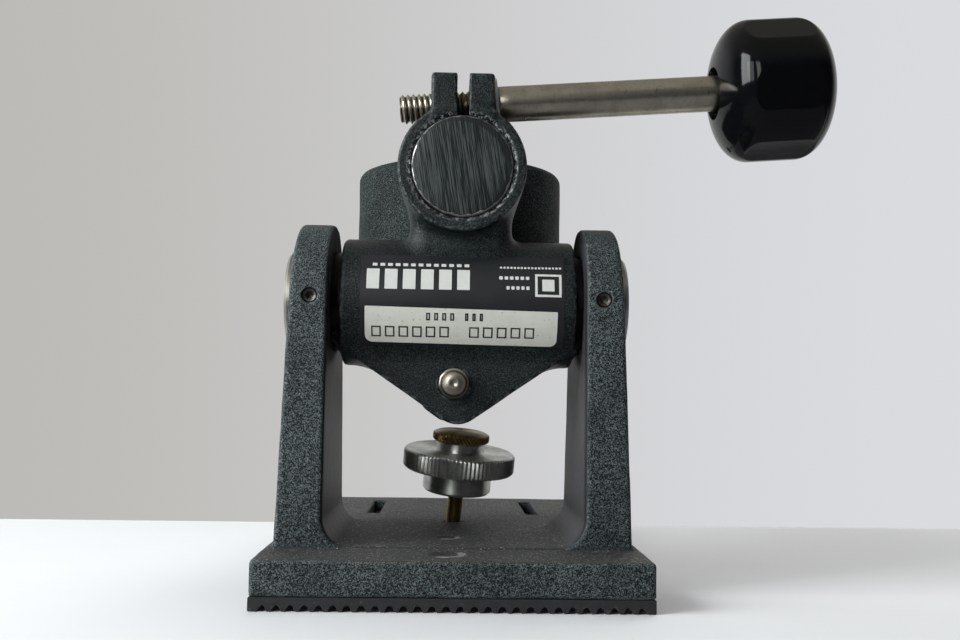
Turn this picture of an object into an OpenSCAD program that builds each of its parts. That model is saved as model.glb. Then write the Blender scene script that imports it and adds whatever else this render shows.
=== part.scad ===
// Heavy-duty pan and tilt head for a large-format camera.
// It stands upside down on its ribbed camera plate, with the tripod socket on top.
// X runs along the tilt shaft, +Y points to the rear, Z is up from the underside of the rubber pad.
// The origin lies on that underside, straight below the tilt axis.

/* [Camera plate] */
// Width of the camera plate, across the arms
plate_w = 101.6; // [98:0.1:110]
// Depth of the camera plate, front to back
plate_l = 152.4; // [150:0.1:170]
// Thickness of the cast plate
plate_t = 9; // [8:0.5:12]
// Distance from the plate's front edge to the tilt axis
plate_front = 43.5; // [40:0.5:48]
// Thickness of the ribbed rubber pad
pad_t = 3.5; // [3:0.1:5]
// Number of grooves moulded into the pad, always even
pad_grooves = 28; // [20:2:28]
// Width of each of the two slots in the plate
slot_w = 4.3; // [3:0.1:6]
// Length of each slot
slot_l = 40; // [30:1:44]
// Distance of each slot from the plate's centre line
slot_x = 27.5; // [25:0.5:30]
// Distance from the tilt axis back to the front end of the slots
slot_y = 56.5; // [54:0.5:60]

/* [Yoke arms] */
// Height of the tilt axis above the plate
axis_h = 68; // [66:0.5:74]
// Clear gap between the two arms
yoke_gap = 71; // [71:0.5:74]
// Thickness of an arm at its root
arm_root_t = 13; // [12:0.5:14]
// Thickness of an arm at its top
arm_top_t = 9.8; // [9:0.1:12]
// Radius of the arm's rounded top, about the tilt axis
boss_r = 22.5; // [20:0.5:24]
// Depth of the arm behind the tilt axis, at its root
arm_back = 35.5; // [26:0.5:40]
// Radius of the fillet between arm and plate, inside the yoke
root_fillet = 8; // [4:0.5:10]

/* [Shafts] */
// Diameter of the tilt shaft and of the side-tilt shaft
shaft_d = 28.6; // [24:0.1:28.8]
// Length of the tilt shaft
tilt_shaft_l = 97.4; // [96:0.1:100]
// Radial clearance of each part that turns in a bore
run_gap = 0.05; // [0.02:0.01:0.1]
// Diameter of the set screws that lock the tilt shaft in the arms
set_screw_d = 4.2; // [3:0.1:5]

/* [Tilt casting] */
// Outer diameter of the barrel on the tilt shaft
barrel_d = 37; // [36:0.5:38]
// Length of the barrel
barrel_l = 66.4; // [60:0.1:68]
// Sideways offset of the barrel's middle
barrel_x = 0.3; // [0:0.1:1]
// Outer diameter of the clamp ring on the side-tilt shaft
ring_d = 36.4; // [36:0.1:38]
// Length of the clamp ring, front to back
ring_l = 34; // [32:0.5:34]
// Distance from the tilt axis forward to the ring's front face
ring_front = 19; // [18.5:0.5:20]
// Height of the side-tilt axis above the tilt axis
ring_h = 37.3; // [37:0.1:39]
// Sideways place of the side-tilt axis and of the pan axis
ring_x = 0.8; // [0:0.1:1]
// Width of the neck between barrel and ring
neck_w = 29.4; // [26:0.1:32]
// Depth of the clamp ears on the ring
ear_l = 22; // [20:0.5:24]
// Height of the ears' top above the side-tilt axis
ear_top = 26.7; // [26:0.1:30]
// Gap between the two ears
ear_slot = 3.4; // [2:0.1:3.8]
// Depth of the clamp lug below the barrel, front to back
lug_l = 23; // [20:0.5:25]
// Gap of the clamp slit through the lug
lug_slot = 2.4; // [1.5:0.1:3]

/* [Handles] */
// Diameter of the handle rods
rod_d = 10.3; // [9.5:0.1:11]
// Thread diameter of the clamp screws on the handles
thread_d = 8.5; // [8:0.1:9]
// Thread pitch of the clamp screws
thread_pitch = 1.5875; // [1.25:0.0125:1.75]
// Slope of the side handle, degrees above level
side_rod_slope = 4.3; // [0:0.1:5]
// Bare length of the side handle's rod, from washer to knob
side_rod_l = 62.9; // [55:0.1:110]
// Bare length of the tilt handle's rod
tilt_rod_l = 285; // [240:1:300]
// Distance across opposite flats of a knob
knob_flats = 39.4; // [37.5:0.1:40.4]
// Largest diameter of a knob between its flats
knob_d = 41; // [40.6:0.1:42.5]
// Length of a knob
knob_l = 34.6; // [32:0.1:42]
// Length of a knob's straight middle, between its rounded ends
knob_middle_l = 12.8; // [6:0.1:18]

/* [Camera screw] */
// Distance of the screw hole behind the tilt axis
screw_y = 36; // [34:0.5:40]
// Lean of the loose screw towards the front, degrees
lean_front = 7; // [0:0.1:7.2]
// Lean of the loose screw towards the right, degrees
lean_side = 4.45; // [0:0.05:4.6]
// Diameter of the screw's smooth shank
shank_d = 4.8; // [4:0.1:5]
// Diameter of the screw's threads
camera_thread_d = 6.35; // [6:0.05:6.6]
// Height of the lock nut's underside above the plate, along the screw
nut_lift = 10.3; // [9.5:0.1:12]
// Diameter of the lock nut's knurled disc
nut_d = 36; // [30:0.5:36.5]
// Diameter of the screw's knurled head
head_d = 18.4; // [16:0.1:19]

/* [Pan base] */
// Diameter of the pan housing
housing_d = 70; // [68:0.5:70]
// Height of the pan housing
housing_h = 45.5; // [45:0.5:48]
// Height of the housing's top above the side-tilt axis
housing_top = 11.7; // [11.4:0.1:12]
// Distance of the pan axis behind the tilt axis
pan_y = 55; // [55:0.5:60]
// Diameter of the tripod seat on the spindle
seat_d = 40; // [36:0.5:40]
// Diameter of the tripod socket's thread
socket_d = 9.52; // [9.5:0.01:9.54]
// Depth of the tripod socket
socket_depth = 14; // [10:0.5:18]

/* [Hidden] */
$fn = 64;

cut = 1;                                        // overshoot of every cutting tool
lap = 0.1;                                      // overlap of two shapes that make one solid
press_gap = 0.02;                               // radial gap of a fit that is driven or glued
screw_gap = 0.03;                               // radial gap of a screw in its thread
plate_top = pad_t + plate_t;
axis_z = plate_top + axis_h;
ring_z = axis_z + ring_h;
shaft_r = shaft_d / 2;
bore_r = shaft_r + run_gap;
plate_back = plate_l - plate_front;
arm_mid = (yoke_gap + arm_top_t) / 2;
arm_top_z = axis_z + boss_r;

// Camera screw: its hole is short, because a counterbore opens it from below
neck_hole_r = 3.4;
neck_hole_l = 3.5;
counterbore_r = 6;
pad_hole_r = 6.8;
pivot_z = plate_top - neck_hole_l / 2;
tip_end = -10.3;                                // lower end of the screw, along its axis from the pivot
washer_top = -2.7;
washer_t = 0.8;
washer_r = 4.2;
screw_pitch = 1.27;
screw_thread_depth = 0.6;
hub_z = neck_hole_l / 2 + nut_lift;             // lock nut's underside, along the axis from the pivot
hub_h = 7;
hub_r = 11;
disc_h = 6.2;
collar_h = 3.1;
collar_r = 7.7;
nut_h = hub_h + disc_h + collar_h;
head_h = 3.4;
head_teeth = 48;
nut_teeth = 84;
tooth_depth = 0.4;
knurl_relief = 0.1;                             // how far the turning blank stands clear of a knurl's tips

// Handles: along each rod's own axis, measured from the middle of its clamp
thread_r = thread_d / 2;
thread_depth = 0.8;
side_rod_y = -8;
side_rod_z = ring_z + 19.8;
ear_left = -9.1;
ear_right = 8.9;
side_thread_start = -18.3;
handle_washer_d = 15.6;
handle_washer_t = 1.1;
washer_gap = 0.05;
lug_x = -0.6;
stud_z = axis_z - 23.5;
stud_proud = 6;
knob_recess_r = 7.5;
knob_recess_l = 6;
rod_in_knob = 26;
knob_power = 2.2;                               // fullness of the knob's rounded ends
knob_sides = 6;
side_knob_turn = 15;                            // how far each knob is turned about its rod
tilt_knob_turn = 35;
side_rod_start = ear_right + 2 * washer_gap + handle_washer_t;
tilt_rod_start = lug_l / 2 + 2 * washer_gap + handle_washer_t;
tilt_thread_start = -lug_l / 2 - stud_proud;

// Lug below the barrel
lug_tip_r = 7.6;
lug_tip_x = 0.5;
lug_tip_z = axis_z - 27.4;
lug_half_w = 31;
lug_side_z = axis_z - 14;
lug_root_z = axis_z - 10;

// Foil labels on the barrel
foil_t = 0.15;
glue_t = 0.02;

// Pan base
housing_r = housing_d / 2;
housing_top_z = ring_z + housing_top;
housing_low_z = housing_top_z - housing_h;
housing_round = 4;
seat_proud = 1.5;
seat_t = 5.5;
seat_gap = 0.3;
thrust_t = 1.5;
spindle_r = 14.95;
spindle_low_z = housing_low_z + 13;
cavity_r = 24;
cover_r = 27;
cover_t = 2;
spindle_thread_r = 9;
retainer_t = 1.5;
nut_t = 6.5;
spigot_r = 9;
spigot_end_y = 33.5;
journal_end_y = ring_l - ring_front + 2;
cross_pin_r = 2;
cross_pin_y = 28;
cross_pin_end = 4;                              // metal left above the pin's hole
lock_z = housing_top_z - 21.5;
lock_r = 4;
lock_pad_l = 3;
lock_pad_y = pan_y + spindle_r + run_gap;
lock_screw_y = lock_pad_y + lock_pad_l + run_gap;
lock_knob_y = pan_y + housing_r + 4;
lock_screw_in_knob = 10;
lock_screw_l = lock_knob_y + lock_screw_in_knob - lock_screw_y;
cover_screw_n = 3;
cover_screw_ring = 25.4;
cover_screw_r = 1.15;
cover_screw_l = 7;
retaining_nut_r = 15;
retaining_washer_r = 19;

// Turn the Z axis to the X axis, or to the Y axis
module along_x() { rotate([0, 90, 0]) children(); }
module along_y() { rotate([-90, 0, 0]) children(); }

// Frames of the parts that have an axis of their own
module on_camera_screw() {
    translate([0, screw_y, pivot_z]) rotate([lean_front, lean_side, 0]) children();
}
module on_side_rod() {
    translate([ring_x, side_rod_y, side_rod_z]) rotate([0, 90 - side_rod_slope, 0]) children();
}
module on_tilt_rod() { translate([lug_x, 0, stud_z]) along_y() children(); }
module on_pan_axis() { translate([ring_x, pan_y, 0]) children(); }

// Round bar with a chamfer at both ends
module chamfered_bar(r, h, c) {
    rotate_extrude() polygon([[0, 0], [r - c, 0], [r, c], [r, h - c], [r - c, h], [0, h]]);
}

module washer(r, hole_r, t) {
    difference() {
        cylinder(r = r, h = t);
        translate([0, 0, -cut]) cylinder(r = hole_r, h = t + 2 * cut);
    }
}

// Bar whose surface is a row of V grooves, one for each turn of a thread
module threaded_bar(r, depth, pitch, l) {
    turns = floor(l / pitch);
    land = (l - turns * pitch) / 2;
    ridge = [for (i = [0 : turns - 1]) each [[r - depth, land + i * pitch],
                                             [r, land + (i + 0.5) * pitch]]];
    rotate_extrude() polygon(concat([[0, 0], [r - depth, 0]], ridge, [[r - depth, l], [0, l]]));
}

// Disc whose rim has straight V teeth
module knurled_disc(r, h, teeth, depth) {
    linear_extrude(h) polygon([for (i = [0 : 2 * teeth - 1])
        (r - (i % 2) * depth) * [cos(i * 180 / teeth), sin(i * 180 / teeth)]]);
}

// Front view of one arm, with its fillet to the plate
module arm_front_outline() {
    inner = yoke_gap / 2;
    polygon([[inner, plate_top - cut], [inner + arm_root_t, plate_top - cut],
             [inner + arm_root_t, plate_top], [inner + arm_top_t, arm_top_z],
             [inner, arm_top_z]]);
    difference() {
        translate([inner - root_fillet, plate_top - cut]) square([root_fillet + cut, root_fillet + cut]);
        translate([inner - root_fillet, plate_top + root_fillet]) circle(r = root_fillet);
    }
}

// Side view of the arms, drawn with Y across and Z up
module arm_side_outline() {
    polygon([[-boss_r, plate_top - cut], [arm_back, plate_top - cut], [arm_back, plate_top],
             [boss_r, axis_z], [-boss_r, axis_z]]);
    translate([0, axis_z]) circle(r = boss_r);
}

module arms() {
    intersection() {
        for (side = [0, 1]) mirror([side, 0, 0])
            translate([0, plate_l, 0]) rotate([90, 0, 0])
                linear_extrude(2 * plate_l) arm_front_outline();
        translate([-plate_w, 0, 0]) rotate([90, 0, 90]) linear_extrude(2 * plate_w) arm_side_outline();
    }
}

// Cast platform: plate and two arms, with the holes for shaft, set screws and camera screw
module yoke_platform() color("#2b2d30") difference() {
    union() {
        translate([-plate_w / 2, -plate_front, pad_t]) cube([plate_w, plate_l, plate_t]);
        arms();
    }
    translate([-plate_w, 0, axis_z]) along_x() cylinder(r = shaft_r + press_gap, h = 2 * plate_w);
    for (x = [-arm_mid, arm_mid]) translate([x, -plate_front, axis_z])
        along_y() cylinder(d = set_screw_d, h = plate_front);
    for (side = [-1, 1]) translate([side * slot_x - slot_w / 2, slot_y, 0])
        cube([slot_w, slot_l, plate_top + cut]);
    translate([0, screw_y, 0]) cylinder(r = neck_hole_r, h = plate_top + cut);
    translate([0, screw_y, 0]) cylinder(r = counterbore_r, h = plate_top - neck_hole_l);
}

// Rubber pad: arched grooves run front to back, and two tongues key it into the plate's slots
module rubber_pad() color("#1d1e20") difference() {
    pitch = plate_w / (pad_grooves + 1);
    groove_r = pitch / 4;
    arch_z = 0.7;
    tongue_h = 5;
    tongue_gap = 0.1;
    union() {
        translate([0, plate_back, 0]) rotate([90, 0, 0]) linear_extrude(plate_l) difference() {
            translate([-plate_w / 2, 0]) square([plate_w, pad_t]);
            for (i = [0 : pad_grooves - 1]) translate([(i - (pad_grooves - 1) / 2) * pitch, 0]) {
                translate([0, arch_z]) circle(r = groove_r, $fn = 24);
                translate([-groove_r, -cut]) square([2 * groove_r, arch_z + cut]);
            }
        }
        for (side = [-1, 1])
            translate([side * slot_x - slot_w / 2 + tongue_gap, slot_y + tongue_gap, pad_t - cut])
                cube([slot_w - 2 * tongue_gap, slot_l - 2 * tongue_gap, tongue_h + cut]);
    }
    translate([0, screw_y, -cut]) cylinder(r = pad_hole_r, h = pad_t + 2 * cut);
}

// Steel shaft through both arms, with a dimple for each set screw and a centre hole at each end
module tilt_shaft() color("#8f9296") {
    end_chamfer = 0.8;
    dimple_depth = 1;
    dimple_d = set_screw_d + 0.4;
    centre_r = 2;
    difference() {
        translate([-tilt_shaft_l / 2, 0, axis_z]) along_x()
            chamfered_bar(shaft_r, tilt_shaft_l, end_chamfer);
        for (x = [-arm_mid, arm_mid]) translate([x, -shaft_r - cut, axis_z])
            along_y() cylinder(d = dimple_d, h = dimple_depth + cut);
        for (side = [0, 1]) mirror([side, 0, 0]) translate([tilt_shaft_l / 2 - centre_r, 0, axis_z])
            along_x() cylinder(r1 = 0, r2 = 2 * centre_r, h = 2 * centre_r);
    }
}

// Two socket set screws, one through the front of each arm
module shaft_set_screws() color("#4a4b4d") {
    recess = 0.8;
    tip_in_dimple = 0.9;
    hexagon_depth = 2.2;
    length = boss_r - recess - shaft_r + tip_in_dimple;
    for (x = [-arm_mid, arm_mid]) translate([x, -boss_r + recess, axis_z]) along_y() difference() {
        chamfered_bar(set_screw_d / 2 - screw_gap, length, recess / 2);
        translate([0, 0, -cut]) cylinder(d = set_screw_d / 2, h = cut + hexagon_depth, $fn = 6);
    }
}

// Washer on the screw's shank, in the counterbore: it keeps the screw from being lost
module captive_washer() color("#a08a4e") on_camera_screw()
    translate([0, 0, washer_top - washer_t]) washer(washer_r, shank_d / 2 + run_gap, washer_t);

// Brass camera screw: knurled head, thread for the lock nut, smooth shank and threaded tip
module camera_screw() color("#7a6336") on_camera_screw() {
    head_chamfer = 0.9;
    thread_low = hub_z - 0.4;
    head_z = hub_z + nut_h + press_gap;
    tip_z = washer_top - washer_t - lap;
    translate([0, 0, tip_end])
        threaded_bar(camera_thread_d / 2, screw_thread_depth, screw_pitch, tip_z - tip_end);
    translate([0, 0, tip_z - lap]) cylinder(d = shank_d, h = thread_low - tip_z + 2 * lap);
    translate([0, 0, thread_low]) cylinder(d = camera_thread_d, h = head_z - thread_low + lap);
    translate([0, 0, head_z]) intersection() {
        knurled_disc(head_d / 2, head_h, head_teeth, tooth_depth);
        chamfered_bar(head_d / 2 + knurl_relief, head_h, head_chamfer);
    }
}

// Steel lock nut: hub below, straight-knurled disc, collar above
module lock_nut() color("#9b9d9e") on_camera_screw() translate([0, 0, hub_z]) difference() {
    edge = 0.7;
    union() {
        chamfered_bar(hub_r, hub_h + cut, edge);
        translate([0, 0, hub_h]) intersection() {
            knurled_disc(nut_d / 2, disc_h, nut_teeth, tooth_depth);
            chamfered_bar(nut_d / 2 + knurl_relief, disc_h, edge);
        }
        translate([0, 0, hub_h + disc_h - cut]) cylinder(r = collar_r, h = collar_h + cut);
    }
    translate([0, 0, -cut]) cylinder(d = camera_thread_d + 2 * run_gap, h = nut_h + 2 * cut);
}

// Front view of the clamp lug below the barrel, drawn with X across and Z up
module lug_outline() {
    hull() {
        translate([lug_tip_x, lug_tip_z]) circle(r = lug_tip_r);
        translate([barrel_x - lug_half_w, lug_side_z]) square([2 * lug_half_w, lug_root_z - lug_side_z]);
    }
}

// Front view of the neck: it flares into the barrel with a concave fillet on each side
module neck_outline() {
    flare = 3;
    low_z = axis_z + barrel_d / 2 - 1;
    translate([ring_x - neck_w / 2, axis_z]) square([neck_w, ring_h]);
    for (side = [0, 1]) translate([ring_x, 0]) mirror([side, 0]) difference() {
        translate([neck_w / 2 - cut, low_z]) square([flare + cut, flare]);
        translate([neck_w / 2 + flare, low_z + flare]) circle(r = flare);
    }
}

// Tilt casting: barrel on the tilt shaft, neck, split ring for the side-tilt shaft, clamp lug
module tilt_casting() color("#26282b") {
    end_chamfer = 2.5;
    ring_chamfer = 0.5;
    neck_half_l = 13.2;
    spot_face_d = handle_washer_d + 0.8;
    spot_face_l = handle_washer_t + 1.4;
    difference() {
        union() {
            translate([barrel_x - barrel_l / 2, 0, axis_z]) along_x()
                chamfered_bar(barrel_d / 2, barrel_l, end_chamfer);
            translate([ring_x, -ring_front, ring_z]) along_y()
                chamfered_bar(ring_d / 2, ring_l, ring_chamfer);
            translate([0, neck_half_l, 0]) rotate([90, 0, 0])
                linear_extrude(2 * neck_half_l) neck_outline();
            translate([ring_x + ear_left, -ring_front, ring_z])
                cube([ear_right - ear_left, ear_l, ear_top]);
            translate([0, lug_l / 2, 0]) rotate([90, 0, 0]) linear_extrude(lug_l) lug_outline();
        }
        translate([-plate_w, 0, axis_z]) along_x() cylinder(r = bore_r, h = 2 * plate_w);
        translate([ring_x, -ring_front - cut, ring_z]) along_y()
            cylinder(r = bore_r, h = ring_l + 2 * cut);
        translate([ring_x - ear_slot / 2, -ring_front - cut, ring_z])
            cube([ear_slot, ring_l + 2 * cut, ear_top + cut]);
        translate([-plate_w / 2, -lug_slot / 2, lug_tip_z - 2 * lug_tip_r])
            cube([plate_w, lug_slot, axis_z - lug_tip_z + 2 * lug_tip_r]);
        on_side_rod() translate([0, 0, -2 * thread_d])
            cylinder(r = thread_r + run_gap, h = 4 * thread_d);
        on_side_rod() translate([0, 0, ear_right]) cylinder(d = spot_face_d, h = spot_face_l);
        on_tilt_rod() translate([0, 0, -lug_l]) cylinder(r = thread_r + run_gap, h = 2 * lug_l);
    }
}

// Thin foil bent round the barrel, between two angles above level at its front
module barrel_foil(x1, x2, angle1, angle2, lift, t) {
    foil_r = barrel_d / 2 + lift;
    reach = 2 * foil_r;
    translate([x1, 0, axis_z]) rotate([90, 0, 90]) linear_extrude(x2 - x1) intersection() {
        difference() {
            circle(r = foil_r + t);
            circle(r = foil_r);
        }
        polygon([[0, 0], [-reach * cos(angle1), reach * sin(angle1)], [-reach, 0],
                 [-reach * cos(angle2), reach * sin(angle2)]]);
    }
}

// Black foil label and the smaller silver one over its lower half
module front_label() color("#17181a") barrel_foil(-27, 29.8, -48, 42, glue_t, foil_t);
module lower_label() color("#b8b9b5") barrel_foil(-25.6, 28, -41.5, -8.8, 2 * glue_t + foil_t, foil_t);

// Handle rod with its threaded end, laid along Z from the thread's free end
module handle_rod(thread_l, bare_l) {
    rod_chamfer = 0.5;
    threaded_bar(thread_r, thread_depth, thread_pitch, thread_l);
    translate([0, 0, thread_l - lap]) cylinder(d = thread_d, h = 2 * lap);
    translate([0, 0, thread_l]) chamfered_bar(rod_d / 2, bare_l + rod_in_knob, rod_chamfer);
}

// Moulded knob: a drum with rounded ends and six flats, and a recess round the rod
module knob(turn) {
    steps = 12;
    end_l = (knob_l - knob_middle_l) / 2;
    half_side = 180 / knob_sides;
    near_end = [for (i = [0 : steps]) [knob_d / 2 * pow(sin(i * 90 / steps), 2 / knob_power),
                                       end_l * (1 - pow(cos(i * 90 / steps), 2 / knob_power))]];
    far_end = [for (i = [steps : -1 : 0]) [near_end[i][0], knob_l - near_end[i][1]]];
    difference() {
        intersection() {
            rotate_extrude() polygon(concat(near_end, far_end));
            rotate([0, 0, turn])
                cylinder(d = knob_flats / cos(half_side), h = knob_l, $fn = knob_sides);
        }
        translate([0, 0, -cut]) cylinder(r = knob_recess_r, h = knob_recess_l + cut);
        translate([0, 0, -cut]) cylinder(r = rod_d / 2 + press_gap, h = rod_in_knob + cut + press_gap);
    }
}

module side_handle_rod() color("#9a968a") on_side_rod() translate([0, 0, side_thread_start])
    handle_rod(side_rod_start - side_thread_start, side_rod_l);

module side_handle_knob() color("#101114") on_side_rod()
    translate([0, 0, side_rod_start + side_rod_l]) knob(side_knob_turn);

module side_handle_washer() color("#a9aaa8") on_side_rod()
    translate([0, 0, ear_right + washer_gap])
        washer(handle_washer_d / 2, thread_r + run_gap, handle_washer_t);

module tilt_handle_rod() color("#9a968a") on_tilt_rod() translate([0, 0, tilt_thread_start])
    handle_rod(tilt_rod_start - tilt_thread_start, tilt_rod_l);

module tilt_handle_knob() color("#101114") on_tilt_rod()
    translate([0, 0, tilt_rod_start + tilt_rod_l]) knob(tilt_knob_turn);

module tilt_handle_washer() color("#a9aaa8") on_tilt_rod()
    translate([0, 0, lug_l / 2 + washer_gap])
        washer(handle_washer_d / 2, thread_r + run_gap, handle_washer_t);

// Side-tilt shaft: journal in the clamp ring, smaller spigot in the pan housing
module side_tilt_shaft() color("#3a3b3d") {
    end_chamfer = 0.6;
    face_y = -ring_front - 0.3;
    journal_l = journal_end_y - face_y;
    difference() {
        translate([ring_x, face_y, ring_z]) along_y() {
            chamfered_bar(shaft_r, journal_l, end_chamfer);
            cylinder(r = spigot_r, h = spigot_end_y - face_y);
        }
        translate([ring_x, cross_pin_y, ring_z - shaft_d])
            cylinder(r = cross_pin_r + press_gap, h = 2 * shaft_d);
    }
}

// Dowel that locks the spigot in the housing, driven in from below
module shaft_cross_pin() color("#7d7f82") translate([ring_x, cross_pin_y, housing_low_z + cover_t])
    chamfered_bar(cross_pin_r, housing_h - cross_pin_end - 1.5 * cover_t, cross_pin_r / 5);

module at_cover_screws() on_pan_axis() for (i = [0 : cover_screw_n - 1])
    rotate([0, 0, 90 + i * 360 / cover_screw_n]) translate([cover_screw_ring, 0, housing_low_z]) children();

// Cup-shaped pan housing: spigot bore in front, spindle bore, nut cavity below, lock hole behind
module pan_housing() color("#2b2d30") {
    seat_bore_r = seat_d / 2 + seat_gap;
    seat_floor_z = housing_top_z + seat_proud - seat_t - thrust_t;
    difference() {
        on_pan_axis() translate([0, 0, housing_low_z]) rotate_extrude() {
            square([housing_r - housing_round, housing_h]);
            square([housing_r, housing_h - housing_round]);
            translate([housing_r - housing_round, housing_h - housing_round]) intersection() {
                circle(r = housing_round);
                square(housing_round);
            }
        }
        translate([ring_x, 0, ring_z]) along_y()
            cylinder(r = spigot_r + press_gap, h = spigot_end_y + lap);
        on_pan_axis() translate([0, 0, seat_floor_z]) cylinder(r = seat_bore_r, h = housing_h);
        on_pan_axis() translate([0, 0, housing_low_z - cut])
            cylinder(r = spindle_r + run_gap, h = housing_h + 2 * cut);
        on_pan_axis() translate([0, 0, housing_low_z - cut])
            cylinder(r = cavity_r, h = spindle_low_z - housing_low_z + cut);
        on_pan_axis() translate([0, 0, housing_low_z - cut])
            cylinder(r = cover_r + lap, h = cover_t + cut);
        translate([ring_x, cross_pin_y, housing_low_z - cut])
            cylinder(r = cross_pin_r + press_gap, h = housing_h - cross_pin_end);
        translate([ring_x, pan_y, lock_z]) along_y() cylinder(r = lock_r + screw_gap, h = housing_d);
        at_cover_screws() translate([0, 0, -cut])
            cylinder(r = cover_screw_r + screw_gap, h = cover_t + cover_screw_l + cut);
    }
}

// Bearing washer below the tripod seat
module pan_thrust_washer() color("#d8d4c4") on_pan_axis()
    translate([0, 0, housing_top_z + seat_proud - seat_t - thrust_t + press_gap])
        washer(seat_d / 2 - seat_gap, spindle_r + run_gap, thrust_t - 2 * press_gap);

// Pan spindle: tripod seat with its threaded socket, journal, and thread for the retaining nut
module pan_spindle() color("#8f9296") on_pan_axis() {
    seat_chamfer = 0.5;
    seat_z = housing_top_z + seat_proud;
    thread_low_z = housing_low_z + cover_t + 1;
    difference() {
        union() {
            translate([0, 0, seat_z - seat_t]) chamfered_bar(seat_d / 2, seat_t, seat_chamfer);
            translate([0, 0, spindle_low_z + lap])
                cylinder(r = spindle_r, h = seat_z - seat_t - spindle_low_z);
            translate([0, 0, thread_low_z])
                cylinder(r = spindle_thread_r, h = spindle_low_z - thread_low_z + 2 * lap);
        }
        translate([0, 0, seat_z - socket_depth]) cylinder(d = socket_d, h = socket_depth + cut);
    }
}

module pan_retaining_washer() color("#9fa1a3") on_pan_axis()
    translate([0, 0, spindle_low_z - retainer_t - screw_gap])
        washer(retaining_washer_r, spindle_thread_r + screw_gap, retainer_t);

module pan_retaining_nut() color("#8a8c8e") on_pan_axis()
    translate([0, 0, spindle_low_z - retainer_t - nut_t - 2 * screw_gap]) difference() {
        cylinder(r = retaining_nut_r, h = nut_t, $fn = 6);
        translate([0, 0, -cut]) cylinder(r = spindle_thread_r + screw_gap, h = nut_t + 2 * cut);
    }

// Cover plate below the housing, with the three screws that hold it
module housing_cover() color("#2b2d30") difference() {
    on_pan_axis() translate([0, 0, housing_low_z]) cylinder(r = cover_r, h = cover_t - press_gap);
    at_cover_screws() translate([0, 0, -cut]) cylinder(r = cover_screw_r + lap, h = cover_t + 2 * cut);
}

module cover_screws() color("#85878a") {
    screw_head_r = 2.2;
    screw_head_h = 1.2;
    driver_slot_w = 0.7;
    at_cover_screws() translate([0, 0, -screw_head_h]) difference() {
        union() {
            chamfered_bar(screw_head_r, screw_head_h - press_gap, 0.2);
            translate([0, 0, screw_head_h / 2]) cylinder(r = cover_screw_r, h = cover_screw_l);
        }
        translate([-2 * screw_head_r, -driver_slot_w / 2, -cut])
            cube([4 * screw_head_r, driver_slot_w, cut + screw_head_h / 2]);
    }
}

// Pan lock at the rear: brass pad on the spindle, screw behind it, and its knob
module pan_lock_pad() color("#a08a4e") translate([ring_x, lock_pad_y, lock_z])
    along_y() chamfered_bar(lock_r - run_gap, lock_pad_l, lock_r / 10);

module pan_lock_screw() color("#8f9296") translate([ring_x, lock_screw_y, lock_z])
    along_y() chamfered_bar(lock_r - press_gap, lock_screw_l, lock_r / 10);

module pan_lock_knob() color("#101114") translate([ring_x, lock_knob_y, lock_z]) along_y() {
    hub_r = 7;
    hub_l = 4;
    grip_r = 13;
    grip_l = 14;
    scallops = 6;
    scallop_r = 5.5;
    difference() {
        union() {
            chamfered_bar(hub_r, 2 * hub_l, 0.5);
            translate([0, 0, hub_l]) chamfered_bar(grip_r, grip_l, 2);
        }
        translate([0, 0, -cut]) cylinder(r = lock_r, h = lock_screw_in_knob + cut);
        for (i = [0 : scallops - 1]) rotate([0, 0, i * 360 / scallops])
            translate([grip_r + scallop_r / 2, 0, hub_l - cut])
                cylinder(r = scallop_r, h = grip_l + 2 * cut);
    }
}

yoke_platform();
rubber_pad();
tilt_shaft();
shaft_set_screws();
captive_washer();
camera_screw();
lock_nut();
tilt_casting();
front_label();
lower_label();
side_handle_rod();
side_handle_knob();
side_handle_washer();
tilt_handle_rod();
tilt_handle_knob();
tilt_handle_washer();
side_tilt_shaft();
shaft_cross_pin();
pan_housing();
pan_thrust_washer();
pan_spindle();
pan_retaining_washer();
pan_retaining_nut();
housing_cover();
cover_screws();
pan_lock_pad();
pan_lock_screw();
pan_lock_knob();
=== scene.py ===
"""Looks of a heavy-duty pan and tilt head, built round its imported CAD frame.

Every size is in millimetres until a mesh is made. The castings are the zero surface of a distance
field, the turned parts are rings round an axis, and the labels are thin foils bent round the barrel.
"""
import math

import bpy
import numpy as np
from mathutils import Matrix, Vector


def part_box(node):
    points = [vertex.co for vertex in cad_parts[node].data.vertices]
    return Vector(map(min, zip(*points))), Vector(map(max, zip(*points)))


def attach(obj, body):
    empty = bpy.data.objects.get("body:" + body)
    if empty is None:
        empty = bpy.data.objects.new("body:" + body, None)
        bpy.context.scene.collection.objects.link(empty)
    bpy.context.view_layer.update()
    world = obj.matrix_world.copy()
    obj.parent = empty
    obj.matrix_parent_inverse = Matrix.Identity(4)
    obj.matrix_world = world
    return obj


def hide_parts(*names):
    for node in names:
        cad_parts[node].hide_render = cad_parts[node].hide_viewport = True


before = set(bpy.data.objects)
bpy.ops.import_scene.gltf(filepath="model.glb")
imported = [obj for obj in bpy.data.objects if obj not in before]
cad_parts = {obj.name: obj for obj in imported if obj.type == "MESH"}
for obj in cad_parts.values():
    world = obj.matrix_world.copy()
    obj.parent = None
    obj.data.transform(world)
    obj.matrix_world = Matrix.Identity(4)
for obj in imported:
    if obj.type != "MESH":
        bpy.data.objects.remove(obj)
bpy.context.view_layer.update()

import openvdb
from mathutils import Matrix, Vector

MM = 0.001


def box_mm(node):
    """Lowest and highest corner of a CAD node, in millimetres."""
    return [np.array(corner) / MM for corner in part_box(node)]


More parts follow.
